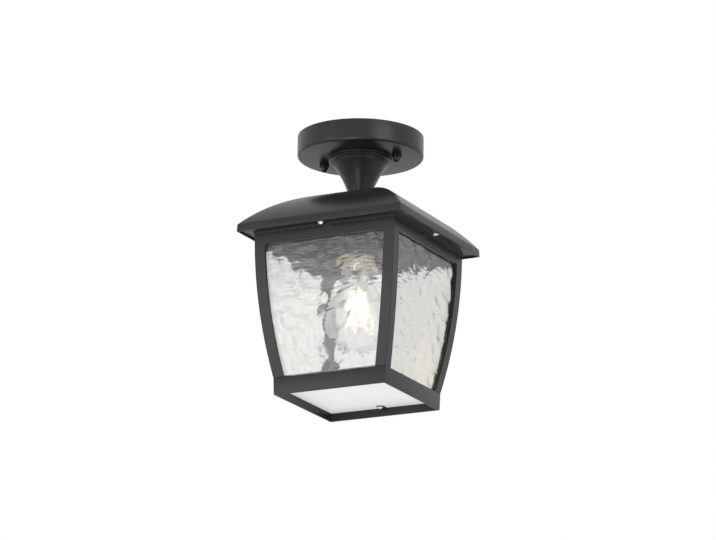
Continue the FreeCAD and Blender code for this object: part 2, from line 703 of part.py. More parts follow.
def roof():
    """The roof: a thin vaulted shell with a crown seat for the pipe and four screw bosses at its eaves."""
    outer = vault("roof_outside", "0", "eave_depth")
    inner = vault("roof_inside", "roof_wall", "eave_depth + roof_wall")
    shell = boolean("roof_skin", "Cut", outer, inner)
    crown_boss = cylinder("crown_boss", "crown_boss_radius", "0 - crown_seat_depth", "crown_boss_height")
    crown_pad = cylinder("crown_pad", "crown_pad_radius", "0 - crown_depth - roof_wall / 2",
                         "crown_pad_height + roof_wall / 2")
    places = [("0", "0 - eave_screw_offset", 0), ("eave_screw_offset", "0", 0),
              ("0", "eave_screw_offset", 0), ("0 - eave_screw_offset", "0", 0)]
    names = [f"eave_{side}" for side in SIDES]
    bosses = at_places([cylinder(name + "_boss", "eave_boss_radius", "0 - flange_top_depth",
                                 "flange_top_depth - crown_depth") for name in names], places)
    trimmed = boolean("eave_bosses", "Common", fused("eave_boss_bars", bosses), outer)
    solid = fused("roof_solid", [shell, crown_boss, crown_pad, trimmed])
    pilots = at_places([cylinder(name + "_pilot", "eave_screw_radius + thread_clearance",
                                 "0 - flange_top_depth - 1",
                                 "eave_screw_length - flange_thickness + 2") for name in names], places)
    bore = cylinder("crown_bore", "pipe_hole_radius", "0 - eave_depth", "eave_depth")
    keep("roof_shell", boolean("roof_drilled", "Cut", solid, fused("roof_holes", [bore] + pilots)))
    screws = [pan_screw(name + "_screw", "0 - flange_under_depth", "eave_screw_radius",
                         "eave_screw_length", "eave_head_radius", "eave_head_height") for name in names]
    keep_group("eave_screws", at_places(screws, places))


def top_flange():
    """The plate under the eaves, its collar round the cage and its lip behind the panes."""
    body = new_body("cage_top_flange")
    plate = sketch_in(body, "flange_plate", "XY", "0 - flange_under_depth")
    opening = "pane_lip_half - pane_lip_thickness"
    draw_outline(plate, rectangle("flange_half", "flange_half"))
    draw_outline(plate, rectangle(opening, opening))
    for x, y in (("0", "eave_screw_offset"), ("0", "0 - eave_screw_offset"),
                 ("eave_screw_offset", "0"), ("0 - eave_screw_offset", "0")):
        draw_circle(plate, x, y, "eave_screw_radius + hole_clearance")
    extrude_in(body, "Pad", plate, "flange_thickness")
    collar = sketch_in(body, "flange_collar", "XY", "0 - flange_under_depth")
    inside = "cage_top_half + seat_clearance"
    draw_outline(collar, rectangle(f"{inside} + collar_thickness", f"{inside} + collar_thickness"))
    draw_outline(collar, rectangle(inside, inside))
    extrude_in(body, "Pad", collar, "collar_height", reverse=True)
    lip = sketch_in(body, "flange_pane_lip", "XY", "0 - flange_under_depth")
    draw_outline(lip, rectangle("pane_lip_half", "pane_lip_half"))
    draw_outline(lip, rectangle(opening, opening))
    extrude_in(body, "Pad", lip, "pane_lip_depth", reverse=True)


def bowed_section(front_radius, rear_radius, rise="0"):
    """The section of a bowed plate of the front face, in (Y, Z), between two arcs of one centre."""
    top, low = "0 - flange_under_depth", "0 - cage_foot_depth"
    front_top = f"cage_centre_offset - sqrt(({front_radius})^2 - ({rise})^2)"
    front_foot = f"cage_centre_offset - sqrt(({front_radius})^2 - cage_height^2)"
    rear_top = f"cage_centre_offset - sqrt(({rear_radius})^2 - ({rise})^2)"
    rear_foot = f"cage_centre_offset - sqrt(({rear_radius})^2 - cage_height^2)"
    return [(front_top, f"{top} - ({rise})", front_radius, 1), (front_foot, low),
            (rear_foot, low, rear_radius, -1), (rear_top, f"{top} - ({rise})")]


def side_at(shift, drop):
    """How far from the middle a face's bowed side edge lies, moved in by a shift, at a drop below the flange."""
    return f"sqrt(cage_curve_radius^2 - ({drop})^2) - cage_centre_offset - ({shift})"


def cage_frame(side, turn):
    """One bowed window frame with mitred ends: two posts and a top rail round a window open at its foot."""
    body = new_body(f"cage_{side}_frame")
    section = sketch_in(body, f"{side}_frame_section", "YZ")
    draw_outline(section, bowed_section("cage_curve_radius", "frame_back_radius"))
    extrude_in(body, "Pad", section, "2 * cage_top_half", both_ways=True)

    window = sketch_in(body, f"{side}_frame_window", "XZ")
    low = "(cage_height + 2 * frame_thickness)"
    corner = "window_corner_round"
    start = f"(top_rail_height + {corner})"
    foot_x, side_x = side_at("post_width", low), side_at("post_width", start)
    foot_z, side_z = f"0 - flange_under_depth - {low}", f"0 - flange_under_depth - {start}"
    draw_outline(window, [
        (f"0 - ({foot_x})", foot_z), (foot_x, foot_z, "cage_curve_radius", 1),
        (side_x, side_z, corner, 1), (f"{side_x} - {corner}", "0 - window_top_depth"),
        (f"0 - ({side_x} - {corner})", "0 - window_top_depth", corner, 1),
        (f"0 - ({side_x})", side_z, "cage_curve_radius", 1)])
    extrude_in(body, "Pocket", window, "4 * cage_top_half", both_ways=True)

    mitre = sketch_in(body, f"{side}_frame_mitre", "XY")
    reach = "2 * cage_top_half"
    draw_outline(mitre, [("0", "0"), (reach, f"0 - {reach}"), (reach, reach), (f"0 - {reach}", reach),
                         (f"0 - {reach}", f"0 - {reach}")])
    cut = extrude_in(body, "Pocket", mitre, "4 * cage_foot_depth", both_ways=True)

    edges = []
    for index, edge in enumerate(cut.Shape.Edges, start=1):
        ends = [vertex.Point for vertex in edge.Vertexes]
        on_mitre = all(abs(abs(point.x) + point.y) < 1e-4 for point in ends)
        outside = all(abs(cage_half_at(point.z) + point.y) < 1e-3 for point in ends)
        if on_mitre and outside:
            edges.append(f"Edge{index}")
    groove = body.newObject("PartDesign::Chamfer", f"{side}_frame_groove")
    groove.Base = (cut, edges)
    bind(groove, "Size", "mitre_chamfer")
    body.Placement = FreeCAD.Placement(ORIGIN, FreeCAD.Rotation(UP, turn))


def cage_half_at(height):
    """The half width of the cage's outside at a height."""
    drop = -height - number("flange_under_depth")
    return math.sqrt(number("cage_curve_radius")**2 - drop**2) - number("cage_centre_offset")


def pane(side, turn):
    """One bowed pane: it stands on the rail's shelf behind its frame, clear of the panes beside it."""
    plate = extruded(free_sketch(f"{side}_pane_section", "YZ", bowed_section(
        "pane_front_radius", "pane_rear_radius", "pane_top_gap")), "2 * cage_top_half")
    top_x, foot_x = side_at("pane_side_shift", "pane_top_gap"), side_at("pane_side_shift", "cage_height")
    outline = extruded(free_sketch(f"{side}_pane_outline", "XZ", [
        (f"0 - ({foot_x})", "0 - cage_foot_depth"), (foot_x, "0 - cage_foot_depth", "cage_curve_radius", 1),
        (top_x, "0 - pane_top_depth"), (f"0 - ({top_x})", "0 - pane_top_depth", "cage_curve_radius", 1)]),
        "4 * cage_top_half")
    glass = boolean(f"{side}_pane_solid", "Common", plate, outline)
    glass.Placement = FreeCAD.Placement(ORIGIN, FreeCAD.Rotation(UP, turn))
    keep(f"{side}_pane", glass)


def bottom_rail():
    """The square rail: tapered outside, a shelf and ridge for the panes, a rebate for the panel."""
    body = new_body("cage_bottom_rail")
    outside = sketch_in(body, "rail_outside", "XY", "0 - cage_foot_depth")
    draw_outline(outside, rectangle("cage_foot_half", "cage_foot_half"))
    block = extrude_in(body, "Pad", outside, "rail_height", reverse=True)
    bind(block, "TaperAngle", "0 - rail_taper")
    ridge = sketch_in(body, "rail_ridge", "XY", "0 - cage_foot_depth")
    draw_outline(ridge, rectangle("ridge_outer_half", "ridge_outer_half"))
    extrude_in(body, "Pad", ridge, "ridge_height")

    rebate = sketch_in(body, "rail_rebate", "XY", "0 - rail_foot_depth")
    draw_outline(rebate, rectangle("rail_inner_half", "rail_inner_half"))
    extrude_in(body, "Pocket", rebate, "rail_foot_depth - panel_top_depth", reverse=True)

    inner, boss_half = "band_inner_half", "clip_width / 2"
    boss_end = "clip_boss_inner"
    band = sketch_in(body, "rail_band", "XY", "0 - panel_top_depth")
    draw_outline(band, [
        (f"0 - {inner}", f"0 - {inner}"), (f"0 - {boss_half}", f"0 - {inner}"),
        (f"0 - {boss_half}", f"0 - {boss_end}"), (boss_half, f"0 - {boss_end}"),
        (boss_half, f"0 - {inner}"), (inner, f"0 - {inner}"), (inner, inner), (boss_half, inner),
        (boss_half, boss_end), (f"0 - {boss_half}", boss_end), (f"0 - {boss_half}", inner),
        (f"0 - {inner}", inner)])
    extrude_in(body, "Pocket", band, "panel_top_depth - cage_foot_depth - shelf_thickness", reverse=True)

    shelf = sketch_in(body, "rail_shelf_opening", "XY", "0 - panel_top_depth")
    shelf_half = "shelf_inner_half"
    draw_outline(shelf, [
        (f"0 - {shelf_half}", f"0 - {shelf_half}"), (f"0 - {boss_half}", f"0 - {shelf_half}"),
        (f"0 - {boss_half}", f"0 - {boss_end}"), (boss_half, f"0 - {boss_end}"),
        (boss_half, f"0 - {shelf_half}"), (shelf_half, f"0 - {shelf_half}"), (shelf_half, shelf_half),
        (boss_half, shelf_half), (boss_half, boss_end), (f"0 - {boss_half}", boss_end),
        (f"0 - {boss_half}", shelf_half), (f"0 - {shelf_half}", shelf_half)])
    extrude_in(body, "Pocket", shelf, "2 * rail_height", reverse=True)

    holes = sketch_in(body, "rail_screw_holes", "XY", "0 - panel_top_depth")
    for side in ("", "0 - "):
        draw_circle(holes, "0", f"{side}clip_screw_offset", "clip_hole_radius")
    extrude_in(body, "Pocket", holes, "clip_screw_length - panel_thickness", reverse=True)


def foot_panel():
    """The frosted panel in the rail, and the two clips and screws that hold it up."""
    body = new_body("bottom_panel")
    plate = sketch_in(body, "panel_outline", "XY", "0 - panel_top_depth")
    half = "rail_inner_half - panel_clearance"
    draw_outline(plate, rounded_rectangle(half, half, "panel_corner_round"))
    for side in ("", "0 - "):
        draw_circle(plate, "0", f"{side}clip_screw_offset", "clip_screw_radius + hole_clearance")
    extrude_in(body, "Pad", plate, "panel_thickness", reverse=True)

    length_end = "rail_inner_half - panel_clearance"
    clips, screws = [], []
    for side, turn in (("front", 180), ("back", 0)):
        outline = free_sketch(f"{side}_clip_outline", "XY", [
            ("0 - clip_width / 2", f"{length_end} - clip_length + clip_width / 2"),
            ("0", f"{length_end} - clip_length", "clip_width / 2", 1),
            ("clip_width / 2", f"{length_end} - clip_length + clip_width / 2"),
            ("clip_width / 2", length_end), ("0 - clip_width / 2", length_end)])
        plate = extruded(outline, "clip_thickness", both_ways=False)
        hole = cylinder(f"{side}_clip_hole", "clip_screw_radius + hole_clearance", "0 - clip_thickness",
                        "3 * clip_thickness")
        bind(hole, "Placement.Base.y", "clip_screw_offset")
        clip = boolean(f"{side}_clip", "Cut", plate, hole)
        clip.Placement = FreeCAD.Placement(ORIGIN, FreeCAD.Rotation(UP, turn))
        bind(clip, "Placement.Base.z", "0 - panel_under_depth - clip_thickness")
        clips.append(clip)
        screw = pan_screw(f"{side}_panel_screw", "0 - panel_under_depth - clip_thickness",
                           "clip_screw_radius", "clip_screw_length", "clip_head_radius", "clip_head_height")
        reach = "clip_screw_offset" if side == "back" else "0 - clip_screw_offset"
        screws += at_places([screw], [("0", reach, 0)])
    keep_group("panel_clips", clips)
    keep_group("panel_screws", screws)


def lampholder():
    """The bracket under the pipe, the porcelain holder between its legs, its shell and its contact."""
    bracket = new_body("lampholder_bracket")
    outer = "holder_radius + bracket_thickness + seat_clearance"
    inner = "holder_radius + seat_clearance"
    top, under = "0 - bracket_depth", "0 - bracket_nut_depth"
    low = "0 - bracket_end_depth"
    bend = "bracket_bend_round"
    tight = f"{bend} - bracket_thickness"
    section = sketch_in(bracket, "bracket_section", "XZ")
    draw_outline(section, [
        (f"0 - ({outer})", low), (f"0 - ({inner})", low),
        (f"0 - ({inner})", f"{under} - ({tight})", tight, -1), (f"0 - ({inner}) + ({tight})", under),
        (f"{inner} - ({tight})", under, tight, -1), (inner, f"{under} - ({tight})"), (inner, low),
        (outer, low), (outer, f"{top} - {bend}", bend, 1), (f"{outer} - {bend}", top),
        (f"0 - ({outer}) + {bend}", top, bend, 1), (f"0 - ({outer})", f"{top} - {bend}")])
    extrude_in(bracket, "Pad", section, "bracket_width", both_ways=True)
    pipe_hole = sketch_in(bracket, "bracket_pipe_hole", "XY", under)
    draw_circle(pipe_hole, "0", "0", "pipe_hole_radius")
    extrude_in(bracket, "Pocket", pipe_hole, "2 * bracket_thickness", reverse=True)
    screw_level = "0 - holder_screw_depth"
    screw_hole = sketch_in(bracket, "bracket_screw_holes", "YZ")
    draw_circle(screw_hole, "0", screw_level, "holder_screw_radius + hole_clearance")
    extrude_in(bracket, "Pocket", screw_hole, "3 * holder_radius", both_ways=True)

    holder = new_body("lampholder_body")
    profile = sketch_in(holder, "holder_profile", "XZ")
    mouth, bevel = "0 - holder_mouth_depth", "holder_edge_bevel"
    draw_outline(profile, [
        ("0", "0 - holder_top_depth"), ("0", "0 - holder_pocket_top"),
        ("holder_pocket_radius", "0 - holder_pocket_top"), ("holder_pocket_radius", "0 - holder_ledge_depth"),
        ("holder_bore_radius", "0 - holder_ledge_depth"), ("holder_bore_radius", mouth),
        (f"holder_radius - {bevel}", mouth), ("holder_radius", f"{mouth} + {bevel}"),
        ("holder_radius", f"0 - holder_top_depth - {bevel}"),
        (f"holder_radius - {bevel}", "0 - holder_top_depth")])
    porcelain = holder.newObject("PartDesign::Revolution", "holder_turned")
    porcelain.Profile = profile
    porcelain.ReferenceAxis = (profile, ["V_Axis"])
    porcelain.Angle = 360
    doc.recompute()
    sockets = sketch_in(holder, "holder_screw_holes", "YZ", "holder_radius - holder_screw_length")
    draw_circle(sockets, "0", screw_level, "holder_screw_radius + thread_clearance")
    extrude_in(holder, "Pocket", sockets, "2 * holder_screw_length", reverse=True)
    far = sketch_in(holder, "holder_far_screw_hole", "YZ", "holder_screw_length - holder_radius")
    draw_circle(far, "0", screw_level, "holder_screw_radius + thread_clearance")
    extrude_in(holder, "Pocket", far, "2 * holder_screw_length")

    screws = []
    for name, turn in (("right", QUARTER), ("left", -QUARTER)):
        screw = pan_screw(f"holder_{name}_screw", "0", "holder_screw_radius", "holder_screw_length",
                           "holder_head_radius", "holder_head_height")
        screw.Placement = FreeCAD.Placement(ORIGIN, FreeCAD.Rotation(FreeCAD.Vector(0, 1, 0), -turn))
        sign = "" if turn > 0 else "0 - "
        bind(screw, "Placement.Base.x", f"{sign}({outer})")
        bind(screw, "Placement.Base.z", screw_level)
        screws.append(screw)
    keep_group("lampholder_screws", screws)

    ledge = "0 - holder_ledge_depth"
    keep("lampholder_shell", turned("screw_shell", [
        ("holder_pocket_radius", ledge), ("shell_radius", ledge), ("shell_radius", f"{ledge} - shell_length"),
        ("shell_bore_radius", f"{ledge} - shell_length"), ("shell_bore_radius", f"{ledge} - shell_wall"),
        ("holder_pocket_radius", f"{ledge} - shell_wall")]))
    ceiling, tip = "0 - holder_pocket_top", "0 - lamp_tip_depth"
    wide, foot, thin = "contact_strip_half", "contact_foot_half", "contact_strip_thickness"
    fall = "lamp_contact_drop / 3"
    strip = extruded(free_sketch("contact_section", "XZ", [
        (f"0 - {wide}", ceiling), (f"0 - {wide}", f"{ceiling} - {thin}"),
        (f"{wide} - {thin}", f"{ceiling} - {thin}"), (f"{wide} - {thin}", f"{ceiling} - {fall}"),
        (f"{foot} - {thin}", f"{tip} + {thin}"), (f"0 - {foot}", f"{tip} + {thin}"), (f"0 - {foot}", tip),
        (foot, tip), (wide, f"{ceiling} - {fall} - {thin}"), (wide, ceiling)]), "contact_strip_width")
    keep("lampholder_contact", strip)


def lamp():
    """The lamp: screw cap, black insulator, tip contact, clear bulb, glass stem and its filaments."""
    tip, seat, cap_top = "0 - lamp_tip_depth", "0 - lamp_seat_depth", "0 - cap_top_depth"
    cap_foot = "0 - cap_foot_depth"
    keep("lamp_contact", turned("tip_contact", [
        ("0", seat), ("lamp_contact_radius", seat), ("lamp_contact_radius", f"{seat} + lamp_contact_height / 3"),
        ("contact_foot_half", tip), ("0", tip)]))
    keep("lamp_cap_insulator", turned("insulator", [
        ("0", f"{cap_top} - insulator_skirt"), ("neck_glass_radius", f"{cap_top} - insulator_skirt"),
        ("neck_glass_radius", cap_top), ("insulator_tip_radius", seat), ("0", seat)]))
    keep("lamp_cap", turned("screw_cap", [
        ("cap_bore_radius", cap_top), ("cap_bore_radius", cap_foot), ("lamp_cap_radius", cap_foot),
        ("lamp_cap_radius", cap_top)]))

    centre, join = "0 - bulb_centre_depth", "0 - bulb_join_depth"
    angle = "bulb_flare_angle"
    inner_flare = "flare_outer_radius + bulb_wall"
    outer_x, inner_x = f"bulb_radius * cos({angle})", f"bulb_inner_radius * cos({angle})"
    inner_join = f"{centre} + bulb_inner_radius * sin({angle})"
    neck_top, glass_top = "0 - bulb_neck_depth", "0 - stem_top_depth"
    inner_neck = "neck_glass_radius - bulb_wall"
    keep("lamp_glass", turned("bulb", [
        (inner_neck, glass_top), (inner_neck, neck_top),
        ("bulb_neck_radius - bulb_wall", neck_top, inner_flare, 1), (inner_x, inner_join, "bulb_inner_radius", -1),
        ("0", f"{centre} - bulb_inner_radius"), ("0", f"{centre} - bulb_radius", "bulb_radius", 1),
        (outer_x, join, "flare_outer_radius", -1), ("bulb_neck_radius", neck_top),
        ("neck_glass_radius", neck_top), ("neck_glass_radius", glass_top)]))

    stem_top, flare_foot = "0 - stem_top_depth", "0 - stem_top_depth - stem_flare_height"
    stem_end = "0 - stem_end_depth"
    keep("lamp_stem", turned("stem", [
        ("0", stem_top), ("0", stem_end), ("stem_radius / 2", stem_end), ("stem_radius", f"{stem_end} + stem_radius"),
        ("stem_radius", flare_foot), (f"{inner_neck} - wire_gap", f"{stem_top} - bulb_wall"),
        (f"{inner_neck} - wire_gap", stem_top)]))

    filaments()


def leaning_bar(name, radius, length, angle, tilt):
    """A round bar that leans outwards by a tilt in degrees, in the upright plane at an angle about Z."""
    bar = doc.addObject("Part::Cylinder", name)
    across = FreeCAD.Rotation(UP, angle).multVec(FreeCAD.Vector(0, 1, 0))
    bar.Placement = FreeCAD.Placement(ORIGIN, FreeCAD.Rotation(across, number(tilt)))
    bind(bar, "Placement.Rotation.Angle", tilt)
    bind(bar, "Radius", radius)
    bind(bar, "Height", length)
    return bar


def set_out(bar, reach, height, angle):
    """Moves a bar outwards from the axis along an angle, and up to a height."""
    bind(bar, "Placement.Base.x", f"({reach}) * cos({angle})")
    bind(bar, "Placement.Base.y", f"({reach}) * sin({angle})")
    bind(bar, "Placement.Base.z", height)
    return bar


def filaments():
    """The leaning filament sticks, the spider that carries their feet and the collar at their heads."""
    top, low = "0 - filament_top_depth", "0 - filament_low_depth"
    spread, fall = "(filament_low_spread - filament_top_spread)", "filament_fall"
    lean = f"atan({spread} / {fall})"
    end_gap = f"(wire_gap + filament_radius * sin({lean}))"
    length = f"sqrt({spread}^2 + {fall}^2) - 2 * {end_gap}"
    foot_reach = f"filament_low_spread - {end_gap} * sin({lean})"
    sticks, low_spokes, top_spokes = [], [], []
    for index in range(int(number("filament_count"))):
        angle = 45.0 + 360.0 * index / number("filament_count")
        stick = leaning_bar(f"filament_{index}", "filament_radius", length, angle, f"-1 * {lean}")
        sticks.append(set_out(stick, foot_reach, f"{low} + {end_gap} * cos({lean})", angle))
        spoke = leaning_bar(f"foot_spoke_{index}", "wire_radius", "filament_low_spread", angle, "90 deg")
        low_spokes.append(set_out(spoke, "0", f"{low} - wire_radius", angle))
        spoke = leaning_bar(f"head_spoke_{index}", "wire_radius", "filament_top_spread - stem_radius / 2",
                            angle, "90 deg")
        top_spokes.append(set_out(spoke, "stem_radius / 2", f"{top} + wire_radius", angle))
    keep_group("lamp_filaments", sticks)

    rod = cylinder("spider_rod", "wire_radius", f"{low} - wire_radius",
                   "filament_low_depth - stem_end_depth + wire_radius")
    ring = cylinder("collar_ring", "stem_radius + wire_radius", f"{top} - wire_radius", "4 * wire_radius")
    stem_hole = cylinder("collar_hole", "stem_radius + wire_gap", f"{top} - 4 * wire_radius",
                         "10 * wire_radius")
    collar = boolean("collar", "Cut", fused("collar_blank", [ring] + top_spokes), stem_hole)
    keep_group("lamp_lead_wires", [fused("spider", [rod] + low_spokes), collar])


def build():
    """Builds every node in the order in which the lantern is put together."""
    crossbar()
    ceiling_canopy()
    canopy_fixings()
    neck()
    lamp_pipe()
    roof()
    top_flange()
    for index, side in enumerate(SIDES):
        cage_frame(side, QUARTER * index)
        pane(side, QUARTER * index)
    bottom_rail()
    foot_panel()
    lampholder()
    lamp()


def check_and_export():
    """Refuses a document with a failed object or an unsound solid, then writes one file for each node."""
    doc.recompute()
    for thing in doc.Objects:
        if "Invalid" in thing.State or "Error" in thing.State:
            raise RuntimeError(f"{thing.Name} failed: {thing.State}")
    for label, node in nodes.items():
        if node.Shape.isNull() or not node.Shape.isValid() or not node.Shape.Solids:
            raise RuntimeError(f"{label} has no sound solid")
    os.makedirs("parts", exist_ok=True)
    for label, node in nodes.items():
        node.Shape.exportStep(os.path.join("parts", label + ".step"))
        box = node.Shape.BoundBox
        print(f"{label}: {len(node.Shape.Solids)} solid(s), {node.Shape.Volume:.0f} mm3, "
              f"Z {box.ZMin:.1f} to {box.ZMax:.1f}")
    print(f"{len(nodes)} nodes")


build()
check_and_export()
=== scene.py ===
"""Looks of the porch ceiling lantern: black powder-coated metal, rippled panes and a clear filament lamp.

Shapes are worked out in millimetres, with Z = 0 on the ceiling and everything below it, and go into the
meshes in metres. A piece is one or more grids: a shape is a function of two parameters, one down the rows
and one along the columns. A "depth" is a distance below the ceiling.
"""
import math

import bmesh
import bpy
import numpy as np
from mathutils import Matrix, Vector


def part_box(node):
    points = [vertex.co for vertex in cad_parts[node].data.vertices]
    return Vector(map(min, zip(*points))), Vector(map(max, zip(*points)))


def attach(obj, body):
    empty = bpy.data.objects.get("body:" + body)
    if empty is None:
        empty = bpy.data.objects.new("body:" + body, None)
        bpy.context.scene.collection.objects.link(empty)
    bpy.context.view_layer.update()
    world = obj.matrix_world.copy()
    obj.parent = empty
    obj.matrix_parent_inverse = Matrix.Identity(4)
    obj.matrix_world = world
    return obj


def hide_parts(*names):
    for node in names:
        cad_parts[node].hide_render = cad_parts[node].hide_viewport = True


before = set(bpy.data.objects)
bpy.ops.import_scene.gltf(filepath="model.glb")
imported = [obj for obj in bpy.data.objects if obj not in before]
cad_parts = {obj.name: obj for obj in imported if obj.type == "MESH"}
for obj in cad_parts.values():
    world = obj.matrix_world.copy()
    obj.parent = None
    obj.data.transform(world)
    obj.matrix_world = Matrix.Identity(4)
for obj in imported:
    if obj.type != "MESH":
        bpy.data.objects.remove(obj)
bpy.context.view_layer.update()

MM = 0.001
FULL_TURN = 2 * math.pi
QUARTER_TURN = math.pi / 2
SIDES = ("front", "right", "back", "left")


def corners_of(node):
    """Lowest and highest corner of a node of the frame, in millimetres."""
    low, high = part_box(node)
    return np.array(low) / MM, np.array(high) / MM


# ---------------------------------------------------------------- sizes taken from the frame
CANOPY_RADIUS = corners_of("ceiling_canopy")[1][0]
CANOPY_DEPTH = -corners_of("ceiling_canopy")[0][2]
NECK_RADIUS = corners_of("neck_flare")[1][0]
NECK_DEPTH = -corners_of("neck_flare")[0][2]
CAP_NUT_LOW = -corners_of("left_cap_nut")[0][2]
CAP_NUT_ACROSS = corners_of("left_cap_nut")[1][1] * 2
CAP_NUT_SPREAD = abs(sum(corners_of("left_cap_nut"))[0]) / 2
ROOF_HALF = corners_of("roof_shell")[1][0]
EAVE_DEPTH = -corners_of("roof_shell")[0][2]
FLANGE_HALF = corners_of("cage_top_flange")[1][0]
FLANGE_TOP = -corners_of("cage_top_flange")[1][2]
FLANGE_LOW = -corners_of("cage_top_flange")[0][2]
CAGE_TOP_HALF = corners_of("cage_right_frame")[1][0]
CAGE_TOP = -corners_of("cage_front_frame")[1][2]
CAGE_FOOT = -corners_of("cage_front_frame")[0][2]
PANE_TOP = -corners_of("front_pane")[1][2]
PANE_FOOT = -corners_of("front_pane")[0][2]
RAIL_HALF = corners_of("cage_bottom_rail")[1][0]
RAIL_TOP = -corners_of("cage_bottom_rail")[1][2]
RAIL_FOOT = -corners_of("cage_bottom_rail")[0][2]
PANEL_HALF = corners_of("bottom_panel")[1][0]
PANEL_TOP = -corners_of("bottom_panel")[1][2]
PANEL_LOW = -corners_of("bottom_panel")[0][2]
HOLDER_RADIUS = corners_of("lampholder_body")[1][0]
HOLDER_TOP = -corners_of("lampholder_body")[1][2]
HOLDER_LOW = -corners_of("lampholder_body")[0][2]
CAP_RADIUS = corners_of("lamp_cap")[1][0]
CAP_TOP = -corners_of("lamp_cap")[1][2]
CAP_LOW = -corners_of("lamp_cap")[0][2]
BULB_RADIUS = corners_of("lamp_glass")[1][0]
BULB_TOP = -corners_of("lamp_glass")[1][2]
BULB_LOW = -corners_of("lamp_glass")[0][2]

# ---------------------------------------------------------------- sizes of the pieces themselves
CANOPY_WALL = 1.2
CANOPY_EDGE_ROUND = 2.2
NECK_CURVE_RADIUS = 90.0
NECK_FOOT_RADIUS = 10.9
CAP_NUT_HEX_HEIGHT = 4.6
CAP_NUT_DOME_RADIUS = 3.6
ROOF_WALL = 1.8
ROOF_LIP_HEIGHT = 7.2
ROOF_LIP_INSET = 0.45
ROOF_RISE = 41.0
CROWN_PAD_RADIUS = 13.0
CAGE_CURVE_RADIUS = 660.0
FRAME_THICKNESS = 3.0
POST_WIDTH = 11.0
TOP_RAIL_HEIGHT = 12.6
PANE_THICKNESS = 3.0
PANE_BACK_GAP = 0.1
PANE_CORNER_GAP = 0.5
LIP_ROUND = 0.55
PIPE_HOLE_RADIUS = 5.1
FLANGE_LIP_OUTER = 66.7
FLANGE_LIP_INNER = 65.3
FLANGE_RECESS_DEPTH = 2.3
FRAME_CORNER_ROUND = 2.5
RAIL_RIDGE_OUTER = 51.76
RAIL_RIDGE_THICKNESS = 1.6
RAIL_TAPER = math.radians(1.4)
CLIP_BOSS_INNER = 44.2
CLIP_HALF_WIDTH = 3.7
CLIP_LENGTH = 11.0
CLIP_THICKNESS = 0.8
CLIP_EDGE_ROUND = 0.2
EAVE_SCREW_INSET = 3.5
CLIP_SCREW_INSET = 8.0
HOLDER_BORE_RADIUS = 14.0
HOLDER_BORE_LENGTH = 26.0
HOLDER_WELL_RADIUS = 6.0
HOLDER_WELL_LENGTH = 10.0
PALE_FOOT_HEIGHT = 8.5
THREAD_PITCH = 3.6
THREAD_DEPTH = 0.72
CAP_WALL = 0.4
BULB_MOUTH_RADIUS = 12.2
BULB_NECK_RADIUS = 12.9
BULB_WALL = 0.8
FILAMENT_TOP_REACH = 5.6
FILAMENT_LOW_REACH = 10.5
FILAMENT_RADIUS = 0.75

# Pan-headed screws: head radius and height, then shank radius and length.
EAVE_SCREW = (3.3, 2.2, 1.9, 6.0)
CLIP_SCREW = (2.8, 1.6, 1.45, 8.6)

# Wave bands of the ripple: shortest and longest wave in mm, spread of direction in degrees, steepness, count.
BROAD_SWELLS = (10.0, 19.0, 60.0, 0.055, 24)
SHORT_WAVES = (2.8, 5.6, 17.0, 0.046, 40)
# slope of the ripple down the pane, which paints shade and highlight into the glass's tint
RIPPLE_SLOPE = "ripple_slope"
FIRST_RIPPLE_SEED = 11

FILAMENT_GLOW = 7.0
WELD_DISTANCE = 2e-6
BEND_STEPS = 7


def outline(corners, steps=BEND_STEPS):
    """Points of an outline from its corners (across, depth, rounding). A corner with a rounding becomes an
    arc tangent to both its sides: its centre lies on the half-angle line, rounding / sin(half) away."""
    points = []
    for index, (across, depth, rounding) in enumerate(corners):
        here = np.array((across, depth), float)
        if rounding == 0:
            points.append(here)
            continue
        back = np.array(corners[index - 1][:2]) - here
        ahead = np.array(corners[(index + 1) % len(corners)][:2]) - here
        back, ahead = back / np.linalg.norm(back), ahead / np.linalg.norm(ahead)
        half = math.acos(np.clip(back @ ahead, -1, 1)) / 2
        centre = here + (back + ahead) / np.linalg.norm(back + ahead) * rounding / math.sin(half)
        start = here + back * rounding / math.tan(half) - centre
        end = here + ahead * rounding / math.tan(half) - centre
        sweep = math.pi - 2 * half
        share = np.linspace(0, 1, steps)[:, None]
        arc = (np.sin((1 - share) * sweep) * start + np.sin(share * sweep) * end) / math.sin(sweep)
        points.extend(centre + arc)
    return np.array(points)


def bow(centre, radius, start, end, steps):
    """Corners along an arc about centre (across, depth): radius * (cos angle, sin angle), angles in radians."""
    angle = np.linspace(start, end, steps)
    return [(centre[0] + radius * math.cos(a), centre[1] + radius * math.sin(a), 0) for a in angle]


def turned(profile, segments=144, squash=None):
    """A profile of (radius, depth) carried once round the lantern's axis: (r cos a, r sin a, -depth).
    squash, where given, is a function of the angle that caps the radius, as the flats of a hexagon do."""
    angle = np.linspace(0, FULL_TURN, segments, endpoint=False)
    radius, depth = profile[:, :1], profile[:, 1:]
    radius = radius * np.ones_like(angle)
    if squash is not None:
        radius = np.minimum(radius, squash(angle)[None])
    return np.stack([radius * np.cos(angle), radius * np.sin(angle), -depth * np.ones_like(angle)], -1)


def spin_matrix(angle):
    """Matrix that turns row vectors about the lantern's axis by an angle, from the front towards the right."""
    cosine, sine = math.cos(angle), math.sin(angle)
    return np.array([[cosine, sine, 0], [-sine, cosine, 0], [0, 0, 1]])


